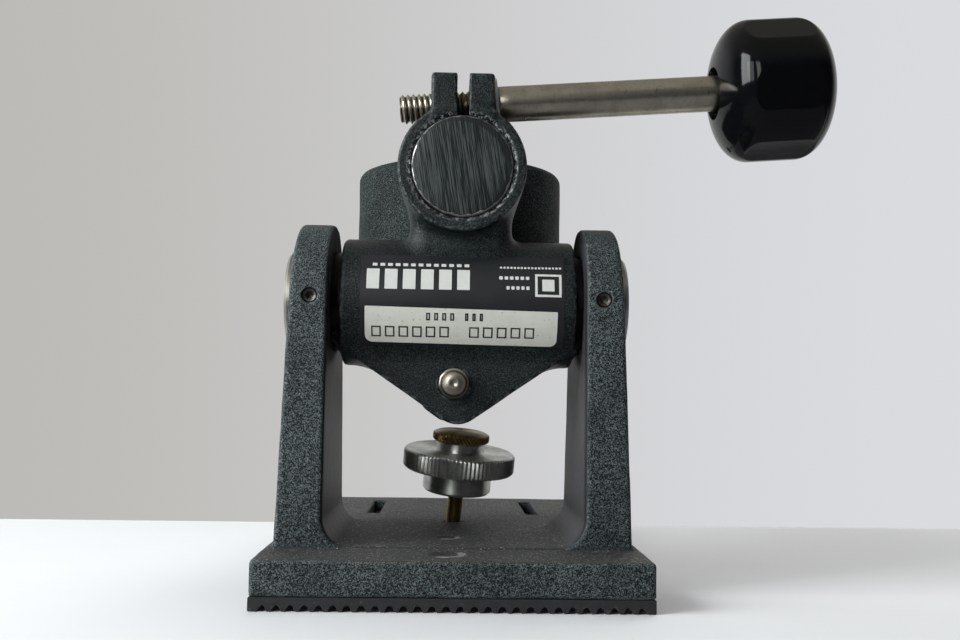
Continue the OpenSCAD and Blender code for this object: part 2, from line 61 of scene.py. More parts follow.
# ---------------------------------------------------------------- places, from the frame
SHAFT_LO, SHAFT_HI = box_mm("tilt_shaft")
RING_SHAFT_LO, RING_SHAFT_HI = box_mm("side_tilt_shaft")
YOKE_LO, YOKE_HI = box_mm("yoke_platform")
CAST_LO, CAST_HI = box_mm("tilt_casting")
HOUSING_LO, HOUSING_HI = box_mm("pan_housing")
AXIS_Z = (SHAFT_LO[2] + SHAFT_HI[2]) / 2
SHAFT_R = (SHAFT_HI[2] - SHAFT_LO[2]) / 2
RING_X = (RING_SHAFT_LO[0] + RING_SHAFT_HI[0]) / 2
RING_Z = (RING_SHAFT_LO[2] + RING_SHAFT_HI[2]) / 2
PAN_X = (HOUSING_LO[0] + HOUSING_HI[0]) / 2
PAN_Y = (HOUSING_LO[1] + HOUSING_HI[1]) / 2
HOUSING_R = (HOUSING_HI[0] - HOUSING_LO[0]) / 2
PAD_T = YOKE_LO[2]
PLATE_TOP = PAD_T + 9
COUNTERBORE_Z = PLATE_TOP - 3.5
PLATE_HALF = YOKE_HI[0]
SCREW_Y = 36
SET_SCREW_X = 40.4
SLOT_X, SLOT_W, SLOT_L, SLOT_Y = 27.5, 4.3, 40, 56.5
ARM_INNER = 35.5
ARM_R = 22.5
BORE_R = SHAFT_R + 0.05
BARREL_R = 18.5
LOCK_DROP = 21.5
# The side handle crosses the ears of the clamp ring, the tilt handle the lug below the barrel
EAR_HOLE_DEPTH, EAR_HOLE_RISE = 8, 19.8
ROD_SLOPE = math.radians(4.3)
EAR_SEAT = 8.9
LUG_HOLE_X, LUG_HOLE_DROP = -0.6, 23.5
LUG_HALF_T = 11.5
LUG_ANGLE, LUG_TIP_R = math.radians(34.5), 7.6
THREAD_R, THREAD_PITCH = 4.25, 1.5875


# ---------------------------------------------------------------- distance fields
def length(*parts):
    return np.sqrt(sum(part * part for part in parts))


def join(a, b, r):
    """Union of two solids, with a fillet of radius r where they meet."""
    return np.maximum(r, np.minimum(a, b)) - length(np.maximum(r - a, 0), np.maximum(r - b, 0))


def meet(a, b, r):
    """Intersection of two solids, with its edge rounded to radius r."""
    return np.minimum(-r, np.maximum(a, b)) + length(np.maximum(r + a, 0), np.maximum(r + b, 0))


def cut(a, b, r=0.0):
    return meet(a, -b, r)


def slab(c, lo, hi):
    return np.maximum(lo - c, c - hi)


def bar(u, v, w, radius, lo, hi, r=0.0):
    """Round bar along w."""
    return meet(length(u, v) - radius, slab(w, lo, hi), r)


def block(x, y, z, lo, hi, r):
    """Box between two corners, with all edges rounded."""
    q = [slab(c, a + r, b - r) for c, a, b in zip((x, y, z), lo, hi)]
    outside = length(*[np.maximum(part, 0) for part in q])
    return outside + np.minimum(np.maximum.reduce(q), 0) - r


def smooth_step(value, lo, hi):
    t = np.clip((value - lo) / (hi - lo), 0, 1)
    return t * t * (3 - 2 * t)


def cast_waves(x, y, z, size):
    """The shallow waves of a sand-cast surface."""
    broad = np.sin(x / 6.1 + 1.3 * np.sin(z / 7.7)) * np.sin(y / 5.3 + 0.7) * np.sin(z / 6.7 + 0.4)
    fine = np.sin(x / 2.3 + 0.9) * np.sin(y / 2.1 + np.sin(x / 5)) * np.sin(z / 2.6 + np.sin(y / 4))
    return size * (broad + 0.45 * fine)


def side_rod_frame(x, y, z):
    """Place along the side handle's axis, and the distance from that axis."""
    dx, dy, dz = x - RING_X, y + EAR_HOLE_DEPTH, z - RING_Z - EAR_HOLE_RISE
    along = dx * math.cos(ROD_SLOPE) + dz * math.sin(ROD_SLOPE)
    return along, length(dz * math.cos(ROD_SLOPE) - dx * math.sin(ROD_SLOPE), dy)


def yoke_solid(x, y, z):
    """Camera plate with two arms, their bore and set screw holes, slots and the camera screw's hole."""
    side = np.abs(x)
    height = z - AXIS_Z
    root_lo = (-PLATE_HALF, YOKE_LO[1], YOKE_LO[2])
    plate = block(x, y, z, root_lo, (PLATE_HALF, YOKE_HI[1], PLATE_TOP), 0.8)
    # One arm, seen from the side: a round boss on a web with a straight front and a sloping back
    boss = length(y, height) - ARM_R
    back = y * 0.983 + height * 0.182 - ARM_R
    web = np.maximum(np.maximum(-ARM_R - y, back), height - 0.185 * np.maximum(y, 0))
    outline = np.minimum(boss, web)
    # The same arm from the front: upright inside with a large fillet, sloping outside
    outer = (side - 48.5) + (z - PLATE_TOP) * 0.0354
    inner = join(z - PLATE_TOP, ARM_INNER - side, 8.0)
    edge = 1.2 + 3.2 * smooth_step(y, 3, 26)
    arm = meet(outline, meet(outer, inner, 0.1), edge)
    solid = join(plate, arm, 1.3) + cast_waves(x, y, z, 0.07)
    solid = cut(solid, length(y, height) - SHAFT_R - 0.02, 0.4)
    screw_hole = meet(length(side - SET_SCREW_X, height) - 2.12, y + 5, 0)
    solid = cut(solid, screw_hole, 0.35)
    slot_lo = (SLOT_X - SLOT_W / 2, SLOT_Y, -5)
    slot_hi = (SLOT_X + SLOT_W / 2, SLOT_Y + SLOT_L, 40)
    solid = cut(solid, block(side, y, z, slot_lo, slot_hi, 0.4), 0.3)
    solid = cut(solid, length(x, y - SCREW_Y) - 3.4, 0.25)
    return cut(solid, bar(x, y - SCREW_Y, z, 6, -5, COUNTERBORE_Z), 0.1)


def tilt_casting_solid(x, y, z):
    """Barrel on the tilt shaft, neck, split clamp ring with two ears, and split clamp lug."""
    height = z - AXIS_Z
    rx, rz = x - RING_X, z - RING_Z
    barrel = bar(y, height, x, BARREL_R, CAST_LO[0], CAST_HI[0], 1.3)
    ring = bar(rx, rz, y, 18.2, CAST_LO[1], 15, 0.8)
    neck = meet(slab(rx, -14.7, 14.7), slab(y, -12.2, 13.1), 5)
    neck = np.maximum(neck, slab(z, AXIS_Z + 5, RING_Z))
    solid = join(join(ring, barrel, 5.5), neck, 3)
    ears = block(rx, y, z, (-9.1, CAST_LO[1], RING_Z), (8.9, 3, CAST_HI[2]), 1.1)
    solid = join(solid, ears, 1.2)
    # Clamp lug: two flanks that run down to a round tip
    tip_x, tip_z = x - 0.5, z - (AXIS_Z - 27.4)
    flank = np.abs(tip_x) * math.sin(LUG_ANGLE) - tip_z * math.cos(LUG_ANGLE) - LUG_TIP_R
    below = np.abs(tip_x) < -tip_z * math.tan(LUG_ANGLE)
    lug = np.where(below, length(tip_x, tip_z) - LUG_TIP_R, flank)
    lug = meet(np.maximum(lug, height + 8), slab(y, -LUG_HALF_T, LUG_HALF_T), 0.9)
    solid = join(solid, lug, 2.6) + cast_waves(x, y, z, 0.07)
    solid = cut(solid, length(y, height) - BORE_R, 0.3)
    lead_in = 0.8 * np.clip(1.1 - (y - CAST_LO[1]), 0, 1.1)
    solid = cut(solid, length(rx, rz) - BORE_R - 0.2 - lead_in, 0.25)
    # The slits through ears and lug, then the holes of the two handles with a seat for the side one
    solid = cut(solid, meet(slab(rx, -1.7, 1.7), RING_Z - z, 0), 0.4)
    solid = cut(solid, np.maximum(slab(y, -1.2, 1.2), z - AXIS_Z), 0.3)
    along, off = side_rod_frame(x, y, z)
    solid = cut(solid, np.maximum(off - 4.3, slab(along, -17, 17)), 0.2)
    solid = cut(solid, meet(off - 8.3, slab(along, EAR_SEAT, 11.5), 0.0), 0.2)
    lug_hole = length(x - LUG_HOLE_X, z - AXIS_Z + LUG_HOLE_DROP) - 4.3
    return cut(solid, np.maximum(lug_hole, slab(y, -20, 20)), 0.3)


def pan_housing_solid(x, y, z):
    """Cup with a hole for the side-tilt shaft, the spindle's stepped bore and the pan lock's hole."""
    px, py = x - PAN_X, y - PAN_Y
    off = length(px, py)
    low, top = HOUSING_LO[2], HOUSING_HI[2]
    solid = meet(meet(off - HOUSING_R, z - top, 2.8), low - z, 1.2)
    solid = solid + cast_waves(x, y, z, 0.09)
    solid = cut(solid, np.maximum(length(x - RING_X, z - RING_Z) - 9.02, y - 33.6), 0.3)
    solid = cut(solid, np.maximum(off - 20.3, top - 5.5 - z), 0.4)
    solid = cut(solid, off - 15, 0.1)
    solid = cut(solid, np.maximum(off - 24, z - low - 13), 0.2)
    solid = cut(solid, np.maximum(off - 27.1, z - low - 2), 0.2)
    lock = np.maximum(length(px, z - (top - LOCK_DROP)) - 4.03, PAN_Y - y)
    return cut(solid, lock, 0.5)


# ---------------------------------------------------------------- mesh making
def show(thing):
    bpy.context.scene.collection.objects.link(thing)
    return thing


def add_object(name, verts, faces, material, smooth_angle=32):
    mesh = bpy.data.meshes.new(name)
    mesh.from_pydata(np.asarray(verts, float).tolist(), [], faces)
    mesh.validate()
    mesh.polygons.foreach_set("use_smooth", [True] * len(mesh.polygons))
    mesh.set_sharp_from_angle(angle=math.radians(smooth_angle))
    mesh.materials.append(material)
    return show(bpy.data.objects.new(name, mesh))


def field(solid, points):
    return solid(points[:, 0], points[:, 1], points[:, 2])


def either_side(solid, points, step):
    """For each axis, the field one step ahead of the points and one step behind them."""
    return [(field(solid, points + shift), field(solid, points - shift)) for shift in np.eye(3) * step]


def slope(solid, points, step=0.03):
    return np.stack([(a - b) / (2 * step) for a, b in either_side(solid, points, step)], axis=1)


def bend_of_surface(solid, points, step=0.7):
    """Sum of the surface's curvatures: above 0 on an outside edge, below 0 in a fillet."""
    around = sum(a + b for a, b in either_side(solid, points, step))
    return (around - 6 * field(solid, points)) / step**2


def cast(name, solid, lo, hi, voxel, material, flatten=0.0):
    """Mesh of the surface where solid(x, y, z) is zero, inside the box lo..hi."""
    margin = 3 * voxel
    axes = [np.arange(a - margin, b + margin, voxel) for a, b in zip(lo, hi)]
    grid = openvdb.FloatGrid(margin)
    grid.copyFromArray(solid(*np.meshgrid(*axes, indexing="ij")).astype(np.float32))
    points, triangles, quads = grid.convertToPolygons(0.0, flatten)
    points = points.astype(float) * voxel + np.array([axis[0] for axis in axes])
    for _ in range(5):
        gradient = slope(solid, points)
        steepness = np.maximum((gradient**2).sum(1), 0.05)
        move = gradient * (field(solid, points) / steepness)[:, None]
        far = np.maximum(np.linalg.norm(move, axis=1) / (0.5 * voxel), 1)
        points -= move / far[:, None]
    faces = [tuple(face[::-1]) for face in triangles.tolist() + quads.tolist()]
    piece = add_object(name, points * MM, faces, material, 60)
    mesh = piece.data
    normals = slope(solid, points)
    normals /= np.maximum(np.linalg.norm(normals, axis=1), 1e-9)[:, None]
    flat = np.zeros(len(mesh.polygons) * 3)
    mesh.polygons.foreach_get("normal", flat)
    first = np.array([polygon.vertices[0] for polygon in mesh.polygons])
    if (flat.reshape(-1, 3) * normals[first]).sum(1).mean() < 0:
        mesh.flip_normals()
    mesh.normals_split_custom_set_from_vertices(normals.tolist())
    bend = mesh.attributes.new("bend", "FLOAT", "POINT")
    bend.data.foreach_set("value", np.clip(bend_of_surface(solid, points), -2, 2))
    return piece


def place(x, y, z, axis="Z", tilt=None):
    """Local millimetres, with the part's own axis along Z, to the frame's metres."""
    turn = {"Z": Matrix.Identity(4), "X": Matrix.Rotation(math.pi / 2, 4, "Y"),
            "Y": Matrix.Rotation(-math.pi / 2, 4, "X")}[axis]
    if tilt is not None:
        turn = tilt @ turn
    return Matrix.Scale(MM, 4) @ Matrix.Translation((x, y, z)) @ turn


def revolve(name, rings, where, material, steps=96, closed=False, smooth_angle=32):
    """Solid of rings round an axis. A ring is (radius, along), and both may hold one value per step."""
    angle = np.arange(steps) * math.tau / steps
    verts, rows, turned = [], [], []
    for radius, along in rings:
        radius = np.broadcast_to(np.asarray(radius, float), steps)
        along = np.broadcast_to(np.asarray(along, float), steps)
        count = 1 if radius.max() < 1e-6 else steps
        rows.append(range(len(verts), len(verts) + count))
        spots = np.stack([radius * np.cos(angle), radius * np.sin(angle), along], axis=1)[:count]
        verts.extend(spots.tolist())
        turned.extend(np.stack([radius, angle * radius.max(), along], axis=1)[:count].tolist())
    faces = []
    for low, high in zip(rows, rows[1:] + (rows[:1] if closed else [])):
        for i in range(steps):
            a, b = low[i % len(low)], low[(i + 1) % len(low)]
            c, d = high[(i + 1) % len(high)], high[i % len(high)]
            face = list(dict.fromkeys((a, b, c, d)))
            if len(face) > 2:
                faces.append(face)
    points = np.array(verts) @ np.array(where.to_3x3()).T + np.array(where.translation)
    piece = add_object(name, points, faces, material, smooth_angle)
    attribute = piece.data.attributes.new("turned", "FLOAT_VECTOR", "POINT")
    attribute.data.foreach_set("vector", np.array(turned).ravel())
    return piece


def thread_rings(r, depth, pitch, lo, hi, steps, lead=1.2, inside=False):
    """Rings of a helical V thread: chamfered where it starts, or faded out at both ends of a hole."""
    angle = np.arange(steps) / steps
    rings = []
    for along in np.arange(lo, hi + 1e-6, pitch / 10):
        phase = (along / pitch - angle) % 1.0
        groove = np.clip(np.abs(phase - 0.5) * 2.3 - 0.12, 0, 1)
        if inside:
            fade = max(0.0, min(1.0, (along - lo) / lead, (hi - along) / lead))
            radius = r + depth * (1 - groove) * fade
        else:
            chamfer = max(0.0, lead - (along - lo)) * 0.9
            radius = np.minimum(r - depth * groove, r - chamfer)
        rings.append((radius, along))
    return rings


def join_pieces(name, parts):
    """Several meshes as one piece."""
    with bpy.context.temp_override(active_object=parts[0], selected_editable_objects=parts):
        bpy.ops.object.join()
    parts[0].name = name
    parts[0].data.name = name
    return parts[0]


def finish_piece(piece, body, slot, *nodes):
    """Ride a piece on its body and hide the CAD nodes that it stands for; slot is not used."""
    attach(piece, body)
    if nodes:
        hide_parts(*nodes)
    return piece


# ---------------------------------------------------------------- materials
class Finish:
    """A material, and the few node calls that the finishes below are made of."""

    def __init__(self, name):
        self.material = bpy.data.materials.new(name)
        self.material.use_nodes = True
        self.tree = self.material.node_tree
        self.surface = self.tree.nodes["Principled BSDF"]
        self.place = self.put("TexCoord").outputs["Object"]

    def feed(self, socket, value):
        if isinstance(value, bpy.types.NodeSocket):
            self.tree.links.new(value, socket)
        elif socket.type == "RGBA":
            grey = (value, value, value) if isinstance(value, (int, float)) else value
            socket.default_value = (*grey, 1)
        else:
            socket.default_value = value

    def put(self, kind, inputs=None, **settings):
        made = self.tree.nodes.new("ShaderNode" + kind)
        for key, value in settings.items():
            setattr(made, key, value)
        for key, value in (inputs or {}).items():
            self.feed(made.inputs[key], value)
        return made

    def noise(self, grain, detail=2.0, rough=0.6, where=None, distortion=0.0):
        """Noise whose grains are about grain millimetres wide."""
        inputs = {"Vector": where or self.place, "Scale": 0.6 / (grain * MM), "Detail": detail,
                  "Roughness": rough, "Distortion": distortion}
        return self.put("TexNoise", inputs).outputs["Fac"]

    def attribute(self, name, output="Fac"):
        return self.put("Attribute", attribute_name=name).outputs[output]

    def calc(self, operation, a, b=0.0, c=0.0):
        return self.put("Math", {0: a, 1: b, 2: c}, operation=operation).outputs[0]

    def times(self, a, b, plus=0.0):
        return self.calc("MULTIPLY_ADD", a, b, plus)

    def minus(self, a, b):
        return self.calc("SUBTRACT", a, b)

    def distance(self, a, b):
        return self.calc("SQRT", self.times(a, a, self.times(b, b)))

    def between(self, value, lo, hi):
        """0 up to lo, 1 from hi on, smooth between them."""
        inputs = {"Value": value, "From Min": lo, "From Max": hi}
        return self.put("MapRange", inputs, interpolation_type="SMOOTHSTEP").outputs["Result"]

    def mix(self, factor, a, b):
        return self.put("MixRGB", {"Fac": factor, "Color1": a, "Color2": b}).outputs["Color"]

    def stretch(self, vector, scale):
        return self.put("Mapping", {"Vector": vector, "Scale": scale}).outputs["Vector"]

    def parts(self, vector):
        return self.put("SeparateXYZ", {"Vector": vector}).outputs

    def normal_parts(self):
        return self.parts(self.put("NewGeometry").outputs["Normal"])

    def bump(self, height, distance, strength=1.0, below=None):
        """Bump of about distance millimetres."""
        inputs = {"Height": height, "Distance": distance * MM, "Strength": strength}
        if below is not None:
            inputs["Normal"] = below
        return self.put("Bump", inputs).outputs["Normal"]

    def done(self, color, roughness, metallic=0.0, normal=None, **more):
        self.feed(self.surface.inputs["Base Color"], color)
        self.feed(self.surface.inputs["Roughness"], roughness)
        self.feed(self.surface.inputs["Metallic"], metallic)
        if normal is not None:
            self.feed(self.surface.inputs["Normal"], normal)
        for key, value in more.items():
            self.feed(self.surface.inputs[key.replace("_", " ")], value)
        return self.material

    def glowing(self, color):
        return self.done((0, 0, 0), 1.0, Specular_IOR_Level=0.0, Emission_Color=color, Emission_Strength=1.0)


def crackle_paint(name, low, high, dust, wear, dull, extra=None, gloss=0.4, depth=0.2):
    """Black crinkle paint on a casting: its grain with pale crests painted as glints, bright painted glint
    specks, dust on its flats, worn edges and painted shade in its fillets.

    extra adds what only one casting has, to (color, rough), and gives its metal and bump strength.
    """
    f = Finish(name)
    x, y, z = f.parts(f.place)
    nx, ny, nz = f.normal_parts()
    grain = f.noise(0.23, 2.0, 0.7)
    fine = f.noise(0.14, 1.0, 0.5)
    patches = f.noise(9, 3.0, 0.55)
    crest = f.calc("ADD", f.times(grain, 0.6), f.times(fine, 0.4))
    # Pale crests of the grain: partly the paint's own tone, partly painted glints of light
    glint_flecks = f.between(crest, 0.465, 0.59)
    color = f.mix(glint_flecks, low, high)
    color = f.mix(f.times(f.between(patches, 0.35, 0.7), 0.35), color, low)
    # Painted glints: scattered bright specks
    bright = f.between(f.noise(0.40, 1.0, 0.5), 0.66, 0.74)
    color = f.mix(f.times(bright, 0.45), color, tuple(2.2 * c for c in high))
    flat_top = f.between(nz, 0.75, 0.97)
    if dust:
        film = f.times(flat_top, f.between(f.noise(5, 3.0, 0.65), 0.25, 0.7))
        color = f.mix(f.times(film, dust), color, (0.072, 0.068, 0.062))
    bend = f.attribute("bend")
    worn = f.times(f.between(bend, 0.35, 1.1), f.between(f.noise(0.8, 3.0, 0.7), 0.44, 0.66))
    color = f.mix(f.times(worn, wear), color, (0.16, 0.18, 0.18))
    # Painted shade in fillets and inside corners, where the surface bends inward
    corner_shade = f.times(f.between(bend, -0.1, -0.7), 0.5)
    color = f.mix(corner_shade, color, (0.004, 0.005, 0.006))
    rough = f.times(grain, -0.3, dull + 0.15)
    strength, metal = 1.0, 0.0
    if extra:
        color, rough, metal, strength = extra(f, (x, y, z), (nx, ny, nz), color, rough)
    normal = f.bump(crest, depth, strength)
    return f.done(color, rough, metal, normal, Specular_IOR_Level=gloss)


def dent(f, x, y, centre, radius):
    """A round dent in the plate's top: 1 on its bare front rim, and 1 in its shaded hollow."""
    dx, dy = (f.times(f.minus(c, at * MM), 1 / (radius * MM)) for c, at in zip((x, y), centre))
    off = f.distance(dx, dy)
    ragged = f.times(f.noise(1.0, 3.0, 0.7), 0.5, off)
    facing = f.minus(f.times(dx, 0.75), f.times(dy, 0.6))
    rim = f.times(f.between(ragged, 0.98, 1.08), f.between(ragged, 1.42, 1.30))
    rim = f.times(rim, f.between(facing, -0.05, 0.7))
    hollow = f.times(f.between(ragged, 1.25, 1.05), f.between(facing, 0.5, 0.0))
    return rim, hollow


def yoke_extra(f, place_parts, normals, color, rough):
    """The yoke's smoother inner faces with painted shade on them, darkest along their front edge, its dusty
    top, stray specks and the two dents in its plate.
    """
    x, y, z = place_parts
    nx, _, nz = normals
    # Inner faces: a smoother finish, kept dark by painted shade
    inward = f.between(f.times(f.times(f.calc("SIGN", x), nx), -1.0), 0.35, 0.8)
    pits = f.between(f.noise(0.7, 2.0, 0.5), 0.38, 0.31)
    smooth = f.mix(f.noise(1.1, 4.0, 0.7), (0.014, 0.016, 0.020), (0.060, 0.060, 0.066))
    smooth = f.mix(f.times(pits, 0.9), smooth, (0.003, 0.003, 0.004))
    # Painted shade: a dark band along the front edge of the inner faces
    front = f.between(y, (4.5 - ARM_R) * MM, (2 - ARM_R) * MM)
    smooth = f.mix(f.times(front, 0.75), smooth, (0.006, 0.007, 0.008))
    color = f.mix(inward, color, smooth)
    top = f.times(f.between(nz, 0.8, 0.98), f.calc("LESS_THAN", z, (PLATE_TOP + 2) * MM))
    soil = f.mix(f.noise(4, 5.0, 0.7), (0.014, 0.016, 0.016), (0.070, 0.069, 0.065))
    soil = f.mix(f.between(f.noise(0.6, 2.0, 0.6), 0.52, 0.66), soil, (0.010, 0.011, 0.011))
    color = f.mix(f.times(top, 0.8), color, soil)
    speck = f.times(top, f.between(f.noise(0.42, 1.0, 0.5), 0.64, 0.70))
    color = f.mix(f.times(speck, 0.8), color, (0.42, 0.41, 0.39))
    dents = zip(dent(f, x, y, (-2.0, -3.2), 3.5), dent(f, x, y, (-2.2, -31.2), 4.9))
    bare, hollow = (f.times(f.calc("MAXIMUM", *pair), top) for pair in dents)
    color = f.mix(f.times(hollow, 0.8), color, (0.007, 0.008, 0.008))
    color = f.mix(bare, color, (0.80, 0.79, 0.76))
    rough = f.mix(inward, rough, 0.5)
    rough = f.mix(bare, rough, 0.3)
    calm = f.calc("MAXIMUM", f.times(inward, 0.75), f.times(top, 0.55))
    return color, rough, bare, f.minus(1.0, calm)


def ring_extra(f, place_parts, _, color, rough):
    """Paint chipped off round the bore of the clamp ring."""
    x, y, z = place_parts
    dx, dz = f.minus(x, RING_X * MM), f.minus(z, RING_Z * MM)
    off = f.distance(dx, dz)
    rim = f.times(f.between(off, (SHAFT_R + 1.7) * MM, (SHAFT_R + 0.4) * MM),
                f.calc("LESS_THAN", y, (CAST_LO[1] + 1.2) * MM))
    chips = f.times(rim, f.between(f.noise(0.7, 3.0, 0.7), 0.52, 0.57))
    color = f.mix(f.times(chips, 0.95), color, (0.60, 0.62, 0.61))
    rough = f.mix(chips, rough, 0.35)
    half = f.times(chips, 0.5)
    return color, rough, half, f.minus(1.0, half)


def turned_metal(name, light, dark, rough, lines=0.05, grime=0.4, dark_middle=0.0, upright=False, groove=0.0):
    """Turned metal: fine rings from the tool, blotches of tarnish, dull and bright patches.

    dark_middle paints shade, near black, on a shaft within that many millimetres of X 0, where the barrel and
    arms shade it, upright streaks the sheen of a part that stands on Z, and groove paints shade into a thread
    below that radius.
    """
    f = Finish(name)
    turned = f.attribute("turned", "Vector")
    rings = f.noise(1, 3.0, 0.7, f.stretch(turned, (0.001 / lines / 6, 0.00002, 0.001 / lines / 6)))
    blotch = f.noise(4, 4.0, 0.65)
    speck = f.noise(0.48, 2.0, 0.6)
    color = f.mix(f.between(blotch, 0.3, 0.72), light, dark)
    color = f.mix(f.times(f.between(speck, 0.58, 0.70), grime), color, tuple(0.35 * c for c in dark))
    color = f.mix(f.times(rings, 0.25), color, tuple(min(1, 1.25 * c) for c in light))
    if dark_middle:
        # Painted shade: the shaft's middle, shaded by the barrel and the arms, painted near black
        side = f.calc("ABSOLUTE", f.parts(f.place)[0])
        inside = f.between(side, (dark_middle + 1.5) * MM, (dark_middle - 1.5) * MM)
        color = f.mix(f.times(inside, 0.97), color, (0.012, 0.010, 0.008))
    # Painted shade in the thread's grooves
    if groove:
        radius = f.parts(turned)[0]
        below = f.between(radius, groove + 0.1, groove - 0.2)
        deep = f.times(below, f.between(radius, groove - 0.75, groove - 0.45))
        color = f.mix(f.times(deep, 0.85), color, (0.045, 0.038, 0.028))
    shine = f.times(blotch, 0.22, rough - 0.10)
    shine = f.times(rings, 0.12, shine)
    normal = f.bump(rings, 0.012, 0.6)
    normal = f.bump(speck, 0.006, 0.5, normal)
    if not upright:
        return f.done(color, shine, 1.0, normal)
    round_it = f.put("Tangent", direction_type="RADIAL", axis="Z").outputs["Tangent"]
    return f.done(color, shine, 0.82, normal, Anisotropic=0.85, Anisotropic_Rotation=0.25, Tangent=round_it)


def brushed_face_paint():
    """Dark paint brushed over the filed end of the side-tilt shaft, chipped bright at its rim, with painted
    shade on one side of its chamfered edge.
    """
    f = Finish("painted_shaft_end")
    x, _, z = f.parts(f.place)
    slanted = f.put("Mapping", {"Vector": f.place, "Rotation": (0.0, 0.16, 0.0)}).outputs["Vector"]
    strokes = f.noise(1, 3.0, 0.62, f.stretch(slanted, (4.2, 0.5, 0.11)), 0.10)
    fine = f.noise(1, 2.0, 0.6, f.stretch(slanted, (7.6, 0.6, 0.17)), 0.08)
    ridge = f.calc("ADD", f.times(strokes, 0.5), f.times(fine, 0.5))
    color = f.mix(f.between(ridge, 0.465, 0.56), (0.002, 0.004, 0.004), (0.058, 0.072, 0.067))
    # Painted shade: a dark crescent on one side of the chamfered edge
    dx, dz = f.minus(x, (RING_X - 1.1) * MM), f.minus(z, (RING_Z - 0.9) * MM)
    off = f.distance(dx, dz)
    bevel_shade = f.between(off, (SHAFT_R - 1.0) * MM, (SHAFT_R - 0.7) * MM)
    color = f.mix(f.times(bevel_shade, 0.75), color, (0.008, 0.010, 0.011))
    radius = f.parts(f.attribute("turned", "Vector"))[0]
    edge = f.times(f.noise(1.4, 3.0, 0.7), 1.5, radius)
    chips = f.between(edge, SHAFT_R + 0.30, SHAFT_R + 0.42)
    chips = f.times(chips, f.minus(1.0, f.times(bevel_shade, 0.7)))
    color = f.mix(chips, color, (0.62, 0.62, 0.59))
    rough = f.mix(chips, f.times(ridge, -0.3, 0.62), 0.3)
    normal = f.bump(ridge, 0.12, 0.9)
    return f.done(color, rough, chips, normal, Specular_IOR_Level=0.3)


def phenolic():
    """Black moulded knob plastic, a little wavy, with faint scuffs."""
    f = Finish("phenolic")
    haze = f.noise(7, 3.0, 0.6)
    scuff = f.between(f.noise(1, 3.0, 0.75, f.stretch(f.place, (0.12, 1.1, 1.6)), 0.4), 0.60, 0.72)
    color = f.mix(f.times(haze, 0.6), (0.0022, 0.0024, 0.0030), (0.0050, 0.0055, 0.0070))
    rough = f.times(haze, 0.08, 0.045)
    rough = f.calc("ADD", rough, f.times(scuff, 0.16))
    normal = f.bump(f.noise(16, 2.0, 0.5), 0.10, 0.35)
    normal = f.bump(f.noise(0.5, 2.0, 0.6), 0.004, 0.4, normal)
    return f.done(color, rough, 0.0, normal, Specular_IOR_Level=0.20)


def rubber():
    """Dull black rubber with chalky specks."""
    f = Finish("pad_rubber")
    mottle = f.noise(2.2, 3.0, 0.65)
    color = f.mix(mottle, (0.009, 0.011, 0.013), (0.026, 0.030, 0.033))
    chalk = f.times(f.between(f.noise(0.7, 2.0, 0.6), 0.62, 0.74), 0.5)
    color = f.mix(chalk, color, (0.085, 0.09, 0.09))
    normal = f.bump(f.noise(0.5, 3.0, 0.65), 0.08, 0.7)
    return f.done(color, f.times(mottle, 0.2, 0.62), 0.0, normal)


def foil(name, low, high, rough, metallic, speckle):
    """Printed foil: faint lengthwise grain, a little handling dirt and dents."""
    f = Finish(name)
    grain = f.noise(1, 3.0, 0.7, f.stretch(f.place, (0.35, 1.6, 1.6)))
    dirt = f.noise(2.5, 4.0, 0.65)
    color = f.mix(f.times(dirt, 0.6, f.times(grain, 0.4)), low, high)
    spots = f.times(f.between(f.noise(0.55, 2.0, 0.6), 0.64, 0.72), speckle)
    color = f.mix(spots, color, tuple(0.4 * c for c in low))
    shine = f.times(dirt, 0.2, rough - 0.1)
    normal = f.bump(f.calc("ADD", dirt, f.times(grain, 0.3)), 0.05, 0.5)
    return f.done(color, shine, metallic, normal)


def plain_paint(name, low, high, rough):
    """Even paint, print or plastic between two colours."""
    f = Finish(name)
    mottle = f.noise(1.5, 3.0, 0.65)
    normal = f.bump(f.noise(0.5, 2.0, 0.6), 0.03, 0.6)
    return f.done(f.mix(mottle, low, high), f.times(mottle, 0.15, rough), 0.0, normal)


yoke_paint = crackle_paint("crinkle_black", (0.0020, 0.0034, 0.0042), (0.142, 0.178, 0.183),
                           0.45, 0.40, 0.62, yoke_extra, gloss=0.3)
casting_paint = crackle_paint("casting_black", (0.0010, 0.0017, 0.0019), (0.037, 0.053, 0.054),
                              0.10, 0.55, 0.34, ring_extra, gloss=0.28, depth=0.24)
housing_paint = crackle_paint("housing_black", (0.0020, 0.0033, 0.0036), (0.068, 0.088, 0.086),
                              0.10, 0.30, 0.60, gloss=0.12)
ground_steel = turned_metal("ground_steel", (0.50, 0.49, 0.46), (0.30, 0.29, 0.27), 0.30, dark_middle=45)
black_steel = turned_metal("black_steel", (0.16, 0.16, 0.15), (0.05, 0.05, 0.05), 0.38)
stainless = turned_metal("rod_stainless", (0.60, 0.555, 0.46), (0.40, 0.365, 0.30), 0.25, grime=0.45,
                         groove=THREAD_R - 0.5)
turned_steel = turned_metal("turned_steel", (0.66, 0.67, 0.62), (0.36, 0.375, 0.365), 0.30, upright=True)
spindle_steel = turned_metal("spindle_steel", (0.55, 0.55, 0.53), (0.38, 0.38, 0.37), 0.30)
old_brass = turned_metal("old_brass", (0.30, 0.205, 0.072), (0.085, 0.056, 0.026), 0.32, lines=0.06,
                         grime=0.5, upright=True)
bearing_plastic = plain_paint("bearing_plastic", (0.55, 0.52, 0.42), (0.68, 0.65, 0.55), 0.4)
shaft_end_paint = brushed_face_paint()
knob_black = phenolic()
pad_rubber = rubber()
label_black = foil("label_black", (0.0085, 0.0100, 0.0115), (0.0150, 0.0175, 0.0200), 0.42, 0.0, 0.5)
